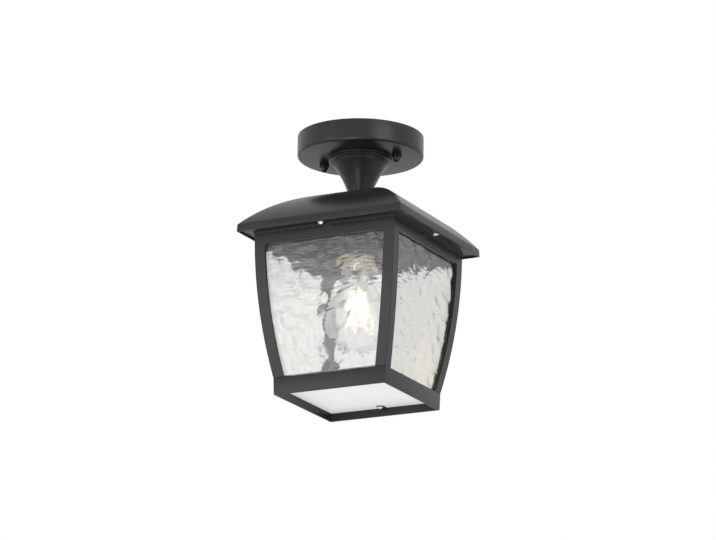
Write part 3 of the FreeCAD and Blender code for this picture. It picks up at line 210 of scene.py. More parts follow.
def square_path(flat_steps=2, bend_steps=6):
    """Once round a square: a point of the unit square's edge, and the outward direction there. A flat side
    keeps its direction while the point runs along it; a corner keeps its point while the direction turns."""
    run = np.linspace(-1, 1, flat_steps + 1)[1:-1]
    bend = np.linspace(0, QUARTER_TURN, bend_steps)
    place = np.concatenate([np.stack([np.ones_like(run), run], 1), np.ones((bend_steps, 2))])
    direction = np.concatenate([np.tile((1.0, 0.0), (len(run), 1)), np.stack([np.cos(bend), np.sin(bend)], 1)])
    spins = [spin_matrix(QUARTER_TURN * quarter)[:2, :2] for quarter in range(4)]
    places, directions = ([part @ spin for spin in spins] for part in (place, direction))
    return np.concatenate(places), np.concatenate(directions)


def raised(across, height):
    """Rows of (x, y) points, each row lifted to its own height."""
    return np.concatenate([across, np.broadcast_to(height[:, None, None], (*across.shape[:2], 1))], -1)


def squared(profile, rounding, flat_steps=2):
    """A profile of (half width, depth) carried round a square with rounded corners: (half - rounding) times
    the place on the unit square, plus rounding times the direction outwards."""
    places, directions = square_path(flat_steps)
    half = profile[:, :1, None]
    rounding = np.minimum(np.broadcast_to(rounding, len(profile))[:, None, None], np.maximum(half, 0))
    return raised((half - rounding) * places + rounding * directions, -profile[:, 1])


def slab(front, back):
    """Two grids of the same size, one for each face of a sheet, stitched round their rims into one surface:
    the columns run across the front face and return along the rear one, and the end rows are folded shut."""
    around = np.concatenate([front, back[:, ::-1]], 1)
    first = np.concatenate([front[:1], front[:1][:, ::-1]], 1)
    last = np.concatenate([back[-1:], back[-1:][:, ::-1]], 1)
    return np.concatenate([first, around, last], 0)


def quads(shape, wrap_rows, wrap_columns):
    """Corner numbers of a grid's four-sided faces, the last row or column joined to the first on request."""
    index = np.arange(shape[0] * shape[1]).reshape(shape[:2])
    if wrap_rows:
        index = np.vstack([index, index[:1]])
    if wrap_columns:
        index = np.hstack([index, index[:, :1]])
    return np.stack([index[:-1, :-1], index[1:, :-1], index[1:, 1:], index[:-1, 1:]], -1).reshape(-1, 4)


def make_piece(name, grids, body, stands_for, finish, sharp=35.0, soft_edge=None):
    """One piece from its grids, each (points, rows join up, columns join up). Seams and poles are welded,
    faces turned outwards and creases sharper than the given angle kept, then the piece joins its body."""
    points, faces, count = [], [], 0
    for grid, wrap_rows, wrap_columns in grids:
        points.append(grid.reshape(-1, 3) * MM)
        faces.append(quads(grid.shape, wrap_rows, wrap_columns) + count)
        count += grid.shape[0] * grid.shape[1]
    mesh = bpy.data.meshes.new(name)
    mesh.from_pydata(np.concatenate(points).tolist(), [], np.concatenate(faces).tolist())
    work = bmesh.new()
    work.from_mesh(mesh)
    bmesh.ops.remove_doubles(work, verts=work.verts, dist=WELD_DISTANCE)
    bmesh.ops.dissolve_degenerate(work, edges=work.edges, dist=WELD_DISTANCE / 20)
    loose = [edge for edge in work.edges if not edge.link_faces]
    bmesh.ops.delete(work, geom=loose, context="EDGES")
    bmesh.ops.recalc_face_normals(work, faces=work.faces)
    work.to_mesh(mesh)
    work.free()
    mesh.polygons.foreach_set("use_smooth", np.ones(len(mesh.polygons), bool))
    mesh.set_sharp_from_angle(angle=math.radians(sharp))
    mesh.materials.append(finish)
    piece = bpy.data.objects.new(name, mesh)
    bpy.context.scene.collection.objects.link(piece)
    if soft_edge:
        bevel = piece.modifiers.new("soft_edges", "BEVEL")
        bevel.width = soft_edge * MM
        bevel.segments = 3
        bevel.limit_method = "ANGLE"
        bevel.angle_limit = math.radians(sharp)
        bevel.harden_normals = True
    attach(piece, body)
    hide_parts(*stands_for)
    return piece


# ---------------------------------------------------------------- finishes
class Value:
    """A number that varies over a surface. Arithmetic on values adds the Math nodes that work it out."""

    def __init__(self, finish, socket):
        self.finish = finish
        self.socket = socket

    def combined(self, operation, other):
        """The value and another one, or a number, put through one Math node."""
        node = self.finish.node("ShaderNodeMath", {"operation": operation}, {0: self, 1: other})
        return Value(self.finish, node.outputs[0])

    def __add__(self, other):
        return self.combined("ADD", other)

    def __mul__(self, other):
        return self.combined("MULTIPLY", other)

    __radd__ = __add__
    __rmul__ = __mul__

    def clipped(self, low, high):
        """The value's share of the way from low to high, held between 0 and 1."""
        node = self.finish.node("ShaderNodeMapRange", {"clamp": True}, {
            "Value": self, "From Min": low, "From Max": high, "To Min": 0.0, "To Max": 1.0})
        return Value(self.finish, node.outputs[0])


class Nodes:
    """A node tree, and the one way in which nodes are added to it."""

    def __init__(self, tree):
        self.tree = tree

    def node(self, kind, settings, inputs):
        """One node: its settings first, then the value or the link of each socket named or numbered."""
        node = self.tree.nodes.new(kind)
        for setting, value in settings.items():
            setattr(node, setting, value)
        for socket, value in inputs.items():
            self.feed(node.inputs[socket], value)
        return node

    def feed(self, socket, value):
        """A link where the value comes from a node, and a plain number, colour or vector otherwise."""
        value = value.socket if isinstance(value, Value) else value
        if isinstance(value, bpy.types.NodeSocket):
            self.tree.links.new(socket, value)
        else:
            socket.default_value = value


class Finish(Nodes):
    """A material with one Principled shader. Constants are set on the shader's own sockets."""

    def __init__(self, name, **constants):
        self.material = bpy.data.materials.new(name)
        self.material.use_nodes = True
        super().__init__(self.material.node_tree)
        self.shader = self.tree.nodes["Principled BSDF"]
        self.place = self.node("ShaderNodeTexCoord", {}, {}).outputs["Object"]
        self.set(**constants)

    def stretched(self, scale):
        """Object coordinates with each axis scaled by its own factor."""
        return self.node("ShaderNodeMapping", {}, {"Vector": self.place, "Scale": scale}).outputs["Vector"]

    def noise(self, scale, detail=2.0, roughness=0.5, place=None):
        """Soft cloudy noise; scale is in cells per metre."""
        node = self.node("ShaderNodeTexNoise", {}, {
            "Vector": place or self.place, "Scale": scale, "Detail": detail, "Roughness": roughness})
        return Value(self, node.outputs["Fac"])

    def cells(self, scale):
        """Distance to the nearest point of a scatter; scale is in cells per metre."""
        node = self.node("ShaderNodeTexVoronoi", {"feature": "F1"}, {"Vector": self.place, "Scale": scale})
        return Value(self, node.outputs["Distance"])

    def mixed(self, share, first, second):
        """A colour between two colour inputs, by a value's share of the way. The Mix node's colour sockets
        are its seventh and eighth, and its colour output is its third."""
        node = self.node("ShaderNodeMix", {"data_type": "RGBA"}, {"Factor": share, 6: first, 7: second})
        return node.outputs[2]

    def colour(self, share, dark, light):
        """A colour between two given as (red, green, blue), by a value's share of the way."""
        return self.mixed(share, (*dark, 1), (*light, 1))

    def relief(self, height, distance, strength):
        """A bumped normal from a height between 0 and 1; distance is the relief's full height in metres."""
        inputs = {"Height": height, "Distance": distance, "Strength": strength}
        return self.node("ShaderNodeBump", {}, inputs).outputs["Normal"]

    def set(self, **inputs):
        """Sets or links the shader's sockets, named with _ for each space, then hands over the material."""
        for socket, value in inputs.items():
            self.feed(self.shader.inputs[socket.replace("_", " ")], value)
        return self.material


def black_powder_coat(name="black_powder_coat", tone=1.0, roughness=0.33):
    """Satin black powder coat: a slight cloudiness in tone and gloss, and a fine orange-peel skin."""
    coat = Finish(name, Specular_IOR_Level=0.30)
    cloud = coat.noise(22.0, 3.0)
    peel = coat.noise(820.0, 2.0, 0.45)
    grain = coat.noise(3600.0, 1.0)
    dark = tuple(tone * c for c in (0.0105, 0.0105, 0.0112))
    light = tuple(tone * c for c in (0.0155, 0.0155, 0.0160))
    return coat.set(
        Base_Color=coat.colour(cloud, dark, light),
        Roughness=cloud * 0.07 + grain * 0.03 + (roughness - 0.05),
        Normal=coat.relief(peel * 0.8 + grain * 0.2, 0.00006, 0.55))


def worn_steel(name, dark, light, roughness, grain_scale):
    """Plated steel: pale metal with a fine crystal grain and duller patches."""
    steel = Finish(name, Metallic=1.0)
    patches = steel.noise(140.0, 4.0, 0.6)
    grain = steel.cells(grain_scale)
    return steel.set(
        Base_Color=steel.colour(patches, dark, light),
        Roughness=patches * 0.18 + (roughness - 0.09),
        Normal=steel.relief(grain, 0.00003, 0.35))


def rippled_glass():
    """Clear cast glass; its large ripples are in the mesh, its finest ones and its thin veins in the bump. Its
    tint is painted darker and lighter by the ripple's slope: painted shade and painted highlight on the ripple
    faces.
    """
    glass = Finish("rippled_glass", Transmission_Weight=0.985, IOR=1.5, Roughness=0.0)
    slope = Value(glass, glass.node("ShaderNodeAttribute", {"attribute_name": RIPPLE_SLOPE}, {}).outputs["Fac"])
    fine = glass.noise(380.0, 2.0, 0.5, glass.stretched((0.6, 0.6, 1.7)))
    return glass.set(
        # painted shade and painted highlight: the glass is tinted darker or lighter by the ripple's slope down
        # the pane
        Base_Color=glass.colour(slope, (0.790, 0.794, 0.775), (0.868, 0.871, 0.851)),
        Normal=glass.relief(fine, 0.00014, 0.8))


def frosted_white():
    """Frosted panel: bluish white, with the fine sandy skin of etched glass."""
    frost = Finish("frosted_white", Specular_IOR_Level=0.4)
    sand = frost.noise(2400.0, 2.0, 0.6)
    cloud = frost.noise(18.0, 2.0)
    return frost.set(
        Base_Color=frost.colour(cloud, (0.675, 0.683, 0.697), (0.710, 0.717, 0.727)),
        Roughness=sand * 0.15 + 0.48,
        Normal=frost.relief(sand, 0.00003, 0.4))


def clear_glass():
    """Thin blown glass of the lamp, with the faint waviness of the blowing."""
    glass = Finish("clear_glass", Transmission_Weight=1.0, IOR=1.12, Roughness=0.32)
    wave = glass.noise(45.0, 1.0)
    return glass.set(
        Base_Color=glass.colour(wave, (0.975, 0.98, 0.978), (0.995, 0.995, 0.995)),
        Normal=glass.relief(wave, 0.0002, 0.25))


def porcelain():
    """Porcelain, coloured black down to an uneven line at a fixed height; below that it is warm white with a
    mottle.
    """
    clay = Finish("porcelain", Coat_Weight=0.6, Coat_Roughness=0.08)
    mottle = clay.noise(260.0, 4.0, 0.6)
    wave = clay.noise(90.0, 1.0)
    height = Value(clay, clay.node("ShaderNodeSeparateXYZ", {}, {"Vector": clay.place}).outputs["Z"])
    # the holder is coloured black above this uneven line and warm white below it
    dark_top_line = -(HOLDER_LOW - PALE_FOOT_HEIGHT) * MM
    dark_top_share = (height + wave * 0.0012).clipped(dark_top_line, dark_top_line + 0.0006)
    pale_foot_colour = clay.colour(mottle, (0.60, 0.48, 0.31), (0.76, 0.64, 0.45))
    dark_top_colour = clay.colour(mottle, (0.016, 0.016, 0.017), (0.028, 0.027, 0.026))
    return clay.set(
        Base_Color=clay.mixed(dark_top_share, pale_foot_colour, dark_top_colour),
        Roughness=mottle * 0.12 + 0.28,
        Normal=clay.relief(wave, 0.0001, 0.3))


def black_insulator():
    """Black glass between the cap's shell and its tip."""
    enamel = Finish("black_insulator", Specular_IOR_Level=0.5)
    flow = enamel.noise(700.0, 2.0)
    return enamel.set(
        Base_Color=enamel.colour(flow, (0.012, 0.011, 0.014), (0.03, 0.028, 0.034)),
        Roughness=flow * 0.1 + 0.12,
        Normal=enamel.relief(flow, 0.00005, 0.3))


def hot_filament():
    """Filament rod, glowing warm and a little brighter along its coils."""
    rod = Finish("hot_filament", Emission_Strength=FILAMENT_GLOW)
    coils = rod.noise(900.0, 1.0, 0.5, rod.stretched((0.2, 0.2, 1.0)))
    return rod.set(
        Base_Color=rod.colour(coils, (0.80, 0.50, 0.20), (0.95, 0.75, 0.40)),
        Emission_Color=rod.colour(coils, (1.0, 0.60, 0.26), (1.0, 0.74, 0.42)),
        Roughness=coils * 0.1 + 0.5)


COAT = black_powder_coat()
NUT_PAINT = black_powder_coat("black_nut_paint", tone=0.7, roughness=0.19)
BLACK_ZINC = worn_steel("black_zinc", (0.020, 0.020, 0.021), (0.050, 0.050, 0.052), 0.42, 900.0)
ZINC = worn_steel("zinc_plate", (0.42, 0.42, 0.40), (0.68, 0.67, 0.63), 0.38, 900.0)
BRIGHT_STEEL = worn_steel("bright_steel", (0.72, 0.72, 0.72), (0.90, 0.90, 0.89), 0.22, 2600.0)
BRASS = worn_steel("aged_brass", (0.60, 0.42, 0.16), (0.84, 0.66, 0.32), 0.34, 1200.0)
ALUMINIUM = worn_steel("lamp_cap_metal", (0.62, 0.62, 0.61), (0.84, 0.84, 0.83), 0.28, 2200.0)
LEAD_WIRE = worn_steel("lead_wire", (0.50, 0.42, 0.34), (0.72, 0.64, 0.54), 0.35, 3000.0)
RIPPLED = rippled_glass()
FROST = frosted_white()
CLEAR = clear_glass()
PORCELAIN = porcelain()
INSULATOR = black_insulator()
HOT = hot_filament()

# ---------------------------------------------------------------- ceiling canopy, neck and cap nuts
canopy_inner = CANOPY_RADIUS - CANOPY_WALL
canopy_floor = CANOPY_DEPTH - CANOPY_WALL
canopy_profile = outline([
    (CANOPY_RADIUS, 0.0, 0.3),
    (CANOPY_RADIUS, CANOPY_DEPTH, CANOPY_EDGE_ROUND),
    (PIPE_HOLE_RADIUS, CANOPY_DEPTH, 0.2),
    (PIPE_HOLE_RADIUS, canopy_floor, 0.2),
    (canopy_inner, canopy_floor, CANOPY_EDGE_ROUND - CANOPY_WALL),
    (canopy_inner, 0.0, 0.3)])
make_piece("ceiling_canopy_cup", [(turned(canopy_profile, 192), True, True)], "lantern",
           ["ceiling_canopy"], COAT)


def neck_profile():
    """The turned rings under the canopy, then the hollow cone, an arc of 90 mm that ends at the roof."""
    ring = NECK_RADIUS
    ring_low, groove_low, bead_low, step_low = (CANOPY_DEPTH + drop for drop in (1.7, 2.7, 4.5, 5.7))
    cone_start = np.array((ring - 4.8, step_low + 1.0))
    foot = np.array((NECK_FOOT_RADIUS, NECK_DEPTH))
    chord = foot - cone_start
    length = np.linalg.norm(chord)
    outward = np.array((-chord[1], chord[0])) / length
    outward = outward if outward[0] > 0 else -outward
    centre = (cone_start + foot) / 2 + outward * math.sqrt(NECK_CURVE_RADIUS ** 2 - (length / 2) ** 2)
    start, end = (math.atan2(*(point - centre)[::-1]) % FULL_TURN for point in (cone_start, foot))
    cone = bow(centre, NECK_CURVE_RADIUS, start, end, 32)
    floor_top = NECK_DEPTH - 5.5
    rings = [
        (ring, CANOPY_DEPTH, 0.3), (ring, ring_low, 0.45), (ring - 1.7, ring_low, 0.15),
        (ring - 1.7, groove_low, 0.15), (ring - 0.6, groove_low, 0.45), (ring - 0.6, bead_low, 0.6),
        (ring - 3.6, bead_low, 0.3), (ring - 3.6, step_low, 0.35), (ring - 4.8, step_low, 0.2)]
    pipe_hole = [(PIPE_HOLE_RADIUS, NECK_DEPTH, 0), (PIPE_HOLE_RADIUS, floor_top, 0)]
    cavity = [(NECK_FOOT_RADIUS - 2.8, floor_top, 0), (ring - 7.6, CANOPY_DEPTH, 0.3)]
    return outline(rings + cone + pipe_hole + cavity, 5)


make_piece("neck_trumpet", [(turned(neck_profile(), 160), True, True)], "lantern",
           ["neck_flare"], COAT)


def cap_nut(centre_x):
    """Acorn nut: a hexagon whose lower corners are chamfered by a cone, under it a dome closed to a pole."""
    half_side = math.pi / 6
    corner = CAP_NUT_ACROSS / 2 / math.cos(half_side)
    hex_low = CANOPY_DEPTH + CAP_NUT_HEX_HEIGHT
    dome_height = CAP_NUT_LOW - hex_low

    def flats(angle):
        """Distance from the nut's axis to its flats: half across flats / cos(angle from the flat's middle)."""
        return CAP_NUT_ACROSS / 2 / np.cos((angle + half_side) % (2 * half_side) - half_side)

    swell = np.linspace(0, QUARTER_TURN, 16)
    dome = [(CAP_NUT_DOME_RADIUS * math.cos(a) ** 0.8, hex_low + dome_height * math.sin(a), 0) for a in swell]
    hexagon = [
        (0.0, CANOPY_DEPTH, 0), (corner - 0.5, CANOPY_DEPTH, 0), (corner, CANOPY_DEPTH + 0.35, 0),
        (corner, hex_low - 0.75, 0), (corner - 0.35, hex_low - 0.25, 0),
        (CAP_NUT_DOME_RADIUS + 0.05, hex_low, 0)]
    profile = outline(hexagon + dome)
    profile[-1, 0] = 0.0
    return turned(profile, 96, flats) + np.array((centre_x, 0, 0))


for side, sign in (("left", -1), ("right", 1)):
    make_piece(f"{side}_acorn_nut", [(cap_nut(sign * CAP_NUT_SPREAD), False, True)], f"{side}_nut",
               [f"{side}_cap_nut"], NUT_PAINT, sharp=25.0)

# ---------------------------------------------------------------- roof
lip_top = EAVE_DEPTH - ROOF_LIP_HEIGHT
crown = lip_top - ROOF_RISE
lip_half = ROOF_HALF - ROOF_LIP_INSET
vault_radius = (lip_half ** 2 + ROOF_RISE ** 2) / (2 * ROOF_RISE)
vault_centre = crown + vault_radius


def vault_arc(radius, low, steps):
    """The vault's section from its spring line up to a flat top 1 mm from the axis: an arc on the axis."""
    spring = math.asin((vault_centre - low) / radius)
    return bow((0.0, vault_centre), radius, -spring, 0.01 - QUARTER_TURN, steps)


def roof_grid():
    """Section up the outside of lip and vault and down the inside, carried round a soft-cornered square."""
    outer = [(lip_half + 0.06, lip_top + 0.35, 0)] + vault_arc(vault_radius, lip_top, 44)
    inner = vault_arc(vault_radius - ROOF_WALL, lip_top + 0.6, 30)[::-1]
    lip_outside = (ROOF_HALF, EAVE_DEPTH, LIP_ROUND)
    lip_inside = (ROOF_HALF - ROOF_WALL, EAVE_DEPTH, LIP_ROUND)
    profile = outline([lip_outside] + outer + inner + [lip_inside], 6)
    hip_rounding = np.interp(lip_top - profile[:, 1], (0.0, 12.0), (0.7, 2.4))
    return squared(profile, hip_rounding, 8)


def crown_pad():
    """The low round pad under the neck: a flat disc whose rim is softened."""
    pad_foot = crown + 1.2
    profile = outline([
        (0.0, pad_foot, 0), (CROWN_PAD_RADIUS, pad_foot, 0), (CROWN_PAD_RADIUS, NECK_DEPTH, 0.25),
        (0.0, NECK_DEPTH, 0)], 4)
    return turned(profile, 96)


make_piece("roof_vault", [(roof_grid(), True, True), (crown_pad(), False, True)], "lantern",
           ["roof_shell"], COAT, sharp=50.0)

# ---------------------------------------------------------------- flange under the eaves
collar_half = CAGE_TOP_HALF + 0.95
recess_half = CAGE_TOP_HALF + 0.05
collar_low = CAGE_TOP + FLANGE_RECESS_DEPTH
flange_profile = outline([
    (FLANGE_LIP_INNER, FLANGE_TOP, 0.3), (FLANGE_HALF, FLANGE_TOP, 0.3), (FLANGE_HALF, CAGE_TOP, 0.5),
    (collar_half, CAGE_TOP, 0.25), (collar_half, collar_low, 0.35), (recess_half, collar_low, 0.25),
    (recess_half, CAGE_TOP, 0), (FLANGE_LIP_OUTER, CAGE_TOP, 0), (FLANGE_LIP_OUTER, FLANGE_LOW, 0.3),
    (FLANGE_LIP_INNER, FLANGE_LOW, 0.3)], 4)
make_piece("eave_flange", [(squared(flange_profile, 0.8), True, True)], "lantern",
           ["cage_top_flange"], COAT)

# ---------------------------------------------------------------- bowed cage: frames and panes
CAGE_OFFSET = CAGE_CURVE_RADIUS - CAGE_TOP_HALF


def bowed_half(radius, drop):
    """Distance from the axis to a bowed face at a drop below the eaves: sqrt(radius^2 - drop^2) - offset."""
    return np.sqrt(radius ** 2 - drop ** 2) - CAGE_OFFSET


def frame_grid():
    """A window frame, open at its feet. Columns run along the path up one post, across the top and down the
    other; rows go round the section: outer and inner edge in front, then inner and outer edge behind."""
    height = CAGE_FOOT - CAGE_TOP
    post_drop = np.linspace(height, TOP_RAIL_HEIGHT + FRAME_CORNER_ROUND, 36)
    bend = np.linspace(0, QUARTER_TURN, 9)

    def outer_edge(radius):
        """Half of the outer edge as (across, drop), in as many evenly spread points as the inner edge has."""
        rise = np.linspace(height, 0, 40)
        across = -bowed_half(radius, rise)
        walk = np.concatenate([[0], np.cumsum(np.hypot(np.diff(across), np.diff(rise)))])
        share = np.linspace(0, walk[-1], len(post_drop) - 1 + len(bend))
        return np.interp(share, walk, across), np.interp(share, walk, rise)

    def inner_edge():
        """Half of the window's edge as (across, drop): up the post, then round the corner to the top rail."""
        straight = bowed_half(CAGE_CURVE_RADIUS, post_drop) - POST_WIDTH
        corner_across = straight[-1] - FRAME_CORNER_ROUND * (1 - np.cos(bend))
        corner_drop = TOP_RAIL_HEIGHT + FRAME_CORNER_ROUND * (1 - np.sin(bend))
        return -np.append(straight[:-1], corner_across), np.append(post_drop[:-1], corner_drop)

    front, back = CAGE_CURVE_RADIUS, CAGE_CURVE_RADIUS - FRAME_THICKNESS
    rows = []
    for radius, edge in ((front, outer_edge(front)), (front, inner_edge()),
                         (back, inner_edge()), (back, outer_edge(back))):
        across, drop = np.append(edge[0], -edge[0][::-1]), np.append(edge[1], edge[1][::-1])
        rows.append(np.stack([across, -bowed_half(radius, drop), -CAGE_TOP - drop], -1))
    return np.stack(rows)


def window_frame(spin):
    """The frame's grid closed with a cap at each foot, turned to its side of the cage."""
    grid = frame_grid()
    left_foot, right_foot = grid[[[0, 1], [3, 2]], 0], grid[[[3, 2], [0, 1]], -1]
    return [(grid @ spin, True, False), (left_foot @ spin, False, False), (right_foot @ spin, False, False)]


for turns, side in enumerate(SIDES):
    make_piece(f"{side}_window_frame", window_frame(spin_matrix(QUARTER_TURN * turns)), "lantern",
               [f"cage_{side}_frame"], COAT, sharp=40.0, soft_edge=0.45)


def ripple(across, drop, seed):
    """Height of the cast-glass ripple in millimetres: a sum of waves of random direction, length and phase.
    Broad swells run every way, and short waves lie mostly level."""
    random = np.random.default_rng(seed)
    warp = 1.6 * np.sin(across / 13.0 + seed) + 1.3 * np.sin(drop / 9.0 + 2 * seed)
    height = np.zeros_like(across)
    for shortest, longest, spread, steepness, waves in (BROAD_SWELLS, SHORT_WAVES):
        length = np.exp(random.uniform(math.log(shortest), math.log(longest), waves))
        lean = random.normal(QUARTER_TURN, math.radians(spread), waves)
        phase = random.uniform(0, FULL_TURN, waves)
        for step, tilt, shift in zip(length, lean, phase):
            run = (across + warp) * math.cos(tilt) + (drop + warp) * math.sin(tilt)
            reach = steepness * step / FULL_TURN / math.sqrt(waves / 2)
            height += reach * np.sin(FULL_TURN / step * run + shift)
    return height


def pane_grid(spin, seed):
    """A bowed pane. Its front is smooth; its rear carries the ripple, fading out at the pane's rim."""
    front_radius = CAGE_CURVE_RADIUS - FRAME_THICKNESS - PANE_BACK_GAP
    rear_radius = front_radius - PANE_THICKNESS
    drops = np.linspace(PANE_TOP - CAGE_TOP, PANE_FOOT - CAGE_TOP, 190)
    share = np.linspace(-1, 1, 150)
    half = bowed_half(rear_radius, drops) - PANE_CORNER_GAP
    across = half[:, None] * share
    drop = np.broadcast_to(drops[:, None], across.shape)
    rim = 3.0
    fade = np.clip((1 - np.abs(share)) * half[:, None] / rim, 0, 1) * np.clip((drop - drops[0]) / rim, 0, 1)
    relief = ripple(across, drop, seed) * fade
    front = np.stack([across, -bowed_half(front_radius, drop), -CAGE_TOP - drop], -1)
    rear = np.stack([across, -bowed_half(rear_radius, drop) + relief, -CAGE_TOP - drop], -1)
    return slab(front, rear) @ spin


def mark_ripple_slope(pane, spin, seed):
    """Keeps each point's ripple slope, down the pane, as a share between 0 and 1 for the glass to read as
    painted shade and painted highlight on the ripple faces.
    """
    place = np.empty(len(pane.data.vertices) * 3, np.float32)
    pane.data.vertices.foreach_get("co", place)
    place = place.reshape(-1, 3) / MM @ spin.T
    across, drop = place[:, 0], -place[:, 2] - CAGE_TOP
    slope = ripple(across, drop + 0.5, seed) - ripple(across, drop - 0.5, seed)
    marks = pane.data.attributes.new(RIPPLE_SLOPE, "FLOAT", "POINT")
    marks.data.foreach_set("value", np.clip(0.5 + slope / 0.4, 0, 1).astype(np.float32))


for turns, side in enumerate(SIDES):
    seed = FIRST_RIPPLE_SEED + turns
    spin = spin_matrix(QUARTER_TURN * turns)
    pane = make_piece(f"{side}_rippled_pane", [(pane_grid(spin, seed), False, True)], "lantern",
                      [f"{side}_pane"], RIPPLED, sharp=60.0)
    mark_ripple_slope(pane, spin, seed)

# ---------------------------------------------------------------- bottom rail, frosted panel, clips
rail_low_half = RAIL_HALF - (RAIL_FOOT - CAGE_FOOT) * math.tan(RAIL_TAPER)
rail_inner = rail_low_half - 2.0
band_inner = rail_low_half - 5.0
shelf_top = CAGE_FOOT
band_top = CAGE_FOOT + 2.5
ridge_inner = RAIL_RIDGE_OUTER - RAIL_RIDGE_THICKNESS
rail_profile = outline([
    (RAIL_HALF, shelf_top, 0.35), (rail_low_half, RAIL_FOOT, 0.5), (rail_inner, RAIL_FOOT, 0.5),
    (rail_inner, PANEL_TOP, 0), (band_inner, PANEL_TOP, 0), (band_inner, band_top, 0),
    (ridge_inner, band_top, 0), (ridge_inner, RAIL_TOP, 0.3), (RAIL_RIDGE_OUTER, RAIL_TOP, 0.3),
    (RAIL_RIDGE_OUTER, shelf_top, 0)], 5)
rail_grid = squared(rail_profile, 0.6)


def block(low, high, rounding=0.3):
    """A small block with softened edges: a section of (half width, depth) carried round an oblong."""
    places, directions = square_path(1, 4)
    centre, half = (np.array(low) + high) / 2, (np.array(high) - low) / 2
    rise = outline([
        (0.0, half[2], 0), (half[1], half[2], rounding), (half[1], -half[2], rounding), (0.0, -half[2], 0)], 3)
    width = rise[:, :1, None]
    flat_part = np.maximum(half[:2] - (half[1] - width) - rounding, 0)
    return raised(flat_part * places + np.minimum(rounding, width) * directions, rise[:, 1]) + centre


boss_outer = rail_inner - 0.5
boss_grids = []
for sign in (-1, 1):
    low_end, high_end = sorted((sign * CLIP_BOSS_INNER, sign * boss_outer))
    boss = block((-CLIP_HALF_WIDTH, low_end, -PANEL_TOP), (CLIP_HALF_WIDTH, high_end, -shelf_top))
    boss_grids.append((boss, False, True))
make_piece("foot_rail", [(rail_grid, True, True)] + boss_grids, "lantern",
           ["cage_bottom_rail"], COAT)

panel_profile = outline([
    (0.0, PANEL_TOP, 0), (PANEL_HALF, PANEL_TOP, 0.35), (PANEL_HALF, PANEL_LOW, 0.35), (0.0, PANEL_LOW, 0)], 4)
make_piece("frosted_foot_panel", [(squared(panel_profile, 1.0, 4), False, True)], "lantern",
           ["bottom_panel"], FROST)


def clip_plate(sign):
    """A small plate with one round end: columns follow the path round it, rows go from the middle of its
    upper face over the softened edge to the middle of its lower face."""
    end, half = PANEL_HALF, CLIP_HALF_WIDTH
    tip = end - CLIP_LENGTH + half
    bend = np.linspace(0, math.pi, 17)
    round_end = np.stack([half * np.cos(bend), tip - half * np.sin(bend)], 1)
    path = np.concatenate([[(half, end)], round_end, [(-half, end)]])
    middle = np.array((0.0, (end + tip) / 2))
    inset = np.array([half, CLIP_EDGE_ROUND, 0.0, 0.0, CLIP_EDGE_ROUND, half])
    edge_low = CLIP_THICKNESS - CLIP_EDGE_ROUND
    drop = np.array([0.0, 0.0, CLIP_EDGE_ROUND, edge_low, CLIP_THICKNESS, CLIP_THICKNESS])
    rings = path + (middle - path) * (inset / half)[:, None, None]
    return raised(rings * np.array((1.0, sign)), -PANEL_LOW - drop)


make_piece("foot_panel_clips", [(clip_plate(sign), False, True) for sign in (-1, 1)], "lantern",
           ["panel_clips"], COAT)

# ---------------------------------------------------------------- cross-headed screws


def cross_screw(place, size, spin):
    """A pan-headed screw on its seat, head down, its cross turned by spin. Rows run from the pole out over the
    dome, back under the head and up the shank. The dome is dented by a cross: the product of a share that
    falls off where the smaller of |x| and |y| grows, and one that falls off where the larger does."""
    head_radius, head_height, shank_radius, shank_length = size
    out = np.linspace(0, 1, 22)
    dome = np.sqrt(np.clip(1 - (0.86 * out) ** 2, 0, 1))
    rim_and_shank = [head_radius, 0.97 * head_radius, shank_radius, shank_radius, 0.0]
    radius = np.concatenate([head_radius * out, rim_and_shank])
    height = np.concatenate([head_height * dome, [0.18 * head_height, 0.0, 0.0, -shank_length, -shank_length]])
    angle = np.linspace(0, FULL_TURN, 64, endpoint=False)
    x, y = radius[:, None] * np.cos(angle), radius[:, None] * np.sin(angle)
    near, far = np.minimum(np.abs(x), np.abs(y)), np.maximum(np.abs(x), np.abs(y))
    arm_width = np.clip((0.17 * head_radius - near) / (0.06 * head_radius), 0, 1)
    arm_reach = np.clip((0.62 * head_radius - far) / (0.22 * head_radius), 0, 1)
    on_head = (np.arange(len(radius)) < len(out))[:, None]
    dent = np.where(on_head, arm_width * arm_reach, 0) * 0.5 * head_height
    return np.stack([x, y, dent - height[:, None]], -1) @ spin_matrix(spin) + np.array(place)


eave_offset = FLANGE_HALF - EAVE_SCREW_INSET
eave_seats = [(0, -eave_offset), (eave_offset, 0), (0, eave_offset), (-eave_offset, 0)]
make_piece("eave_cross_screws", [
    (cross_screw((x, y, -CAGE_TOP), EAVE_SCREW, 0.4 + 0.7 * turn), False, True)
    for turn, (x, y) in enumerate(eave_seats)], "lantern", ["eave_screws"], BRIGHT_STEEL)
clip_offset = rail_inner - CLIP_SCREW_INSET
make_piece("foot_panel_cross_screws", [
    (cross_screw((0, sign * clip_offset, -PANEL_LOW - CLIP_THICKNESS), CLIP_SCREW, 0.9 * sign), False, True)
    for sign in (-1, 1)], "lantern", ["panel_screws"], BRIGHT_STEEL)

# ---------------------------------------------------------------- lampholder and lamp
bore_top = HOLDER_LOW - HOLDER_BORE_LENGTH
well_top = bore_top - HOLDER_WELL_LENGTH
holder_profile = outline([
    (0.0, HOLDER_TOP, 0), (HOLDER_RADIUS, HOLDER_TOP, 1.8), (HOLDER_RADIUS, HOLDER_LOW, 1.6),
    (HOLDER_BORE_RADIUS, HOLDER_LOW, 0.8), (HOLDER_BORE_RADIUS, bore_top, 0), (HOLDER_WELL_RADIUS, bore_top, 0),
    (HOLDER_WELL_RADIUS, well_top, 0), (0.0, well_top, 0)])
make_piece("porcelain_holder", [(turned(holder_profile, 96), False, True)], "lantern",
           ["lampholder_body"], PORCELAIN)


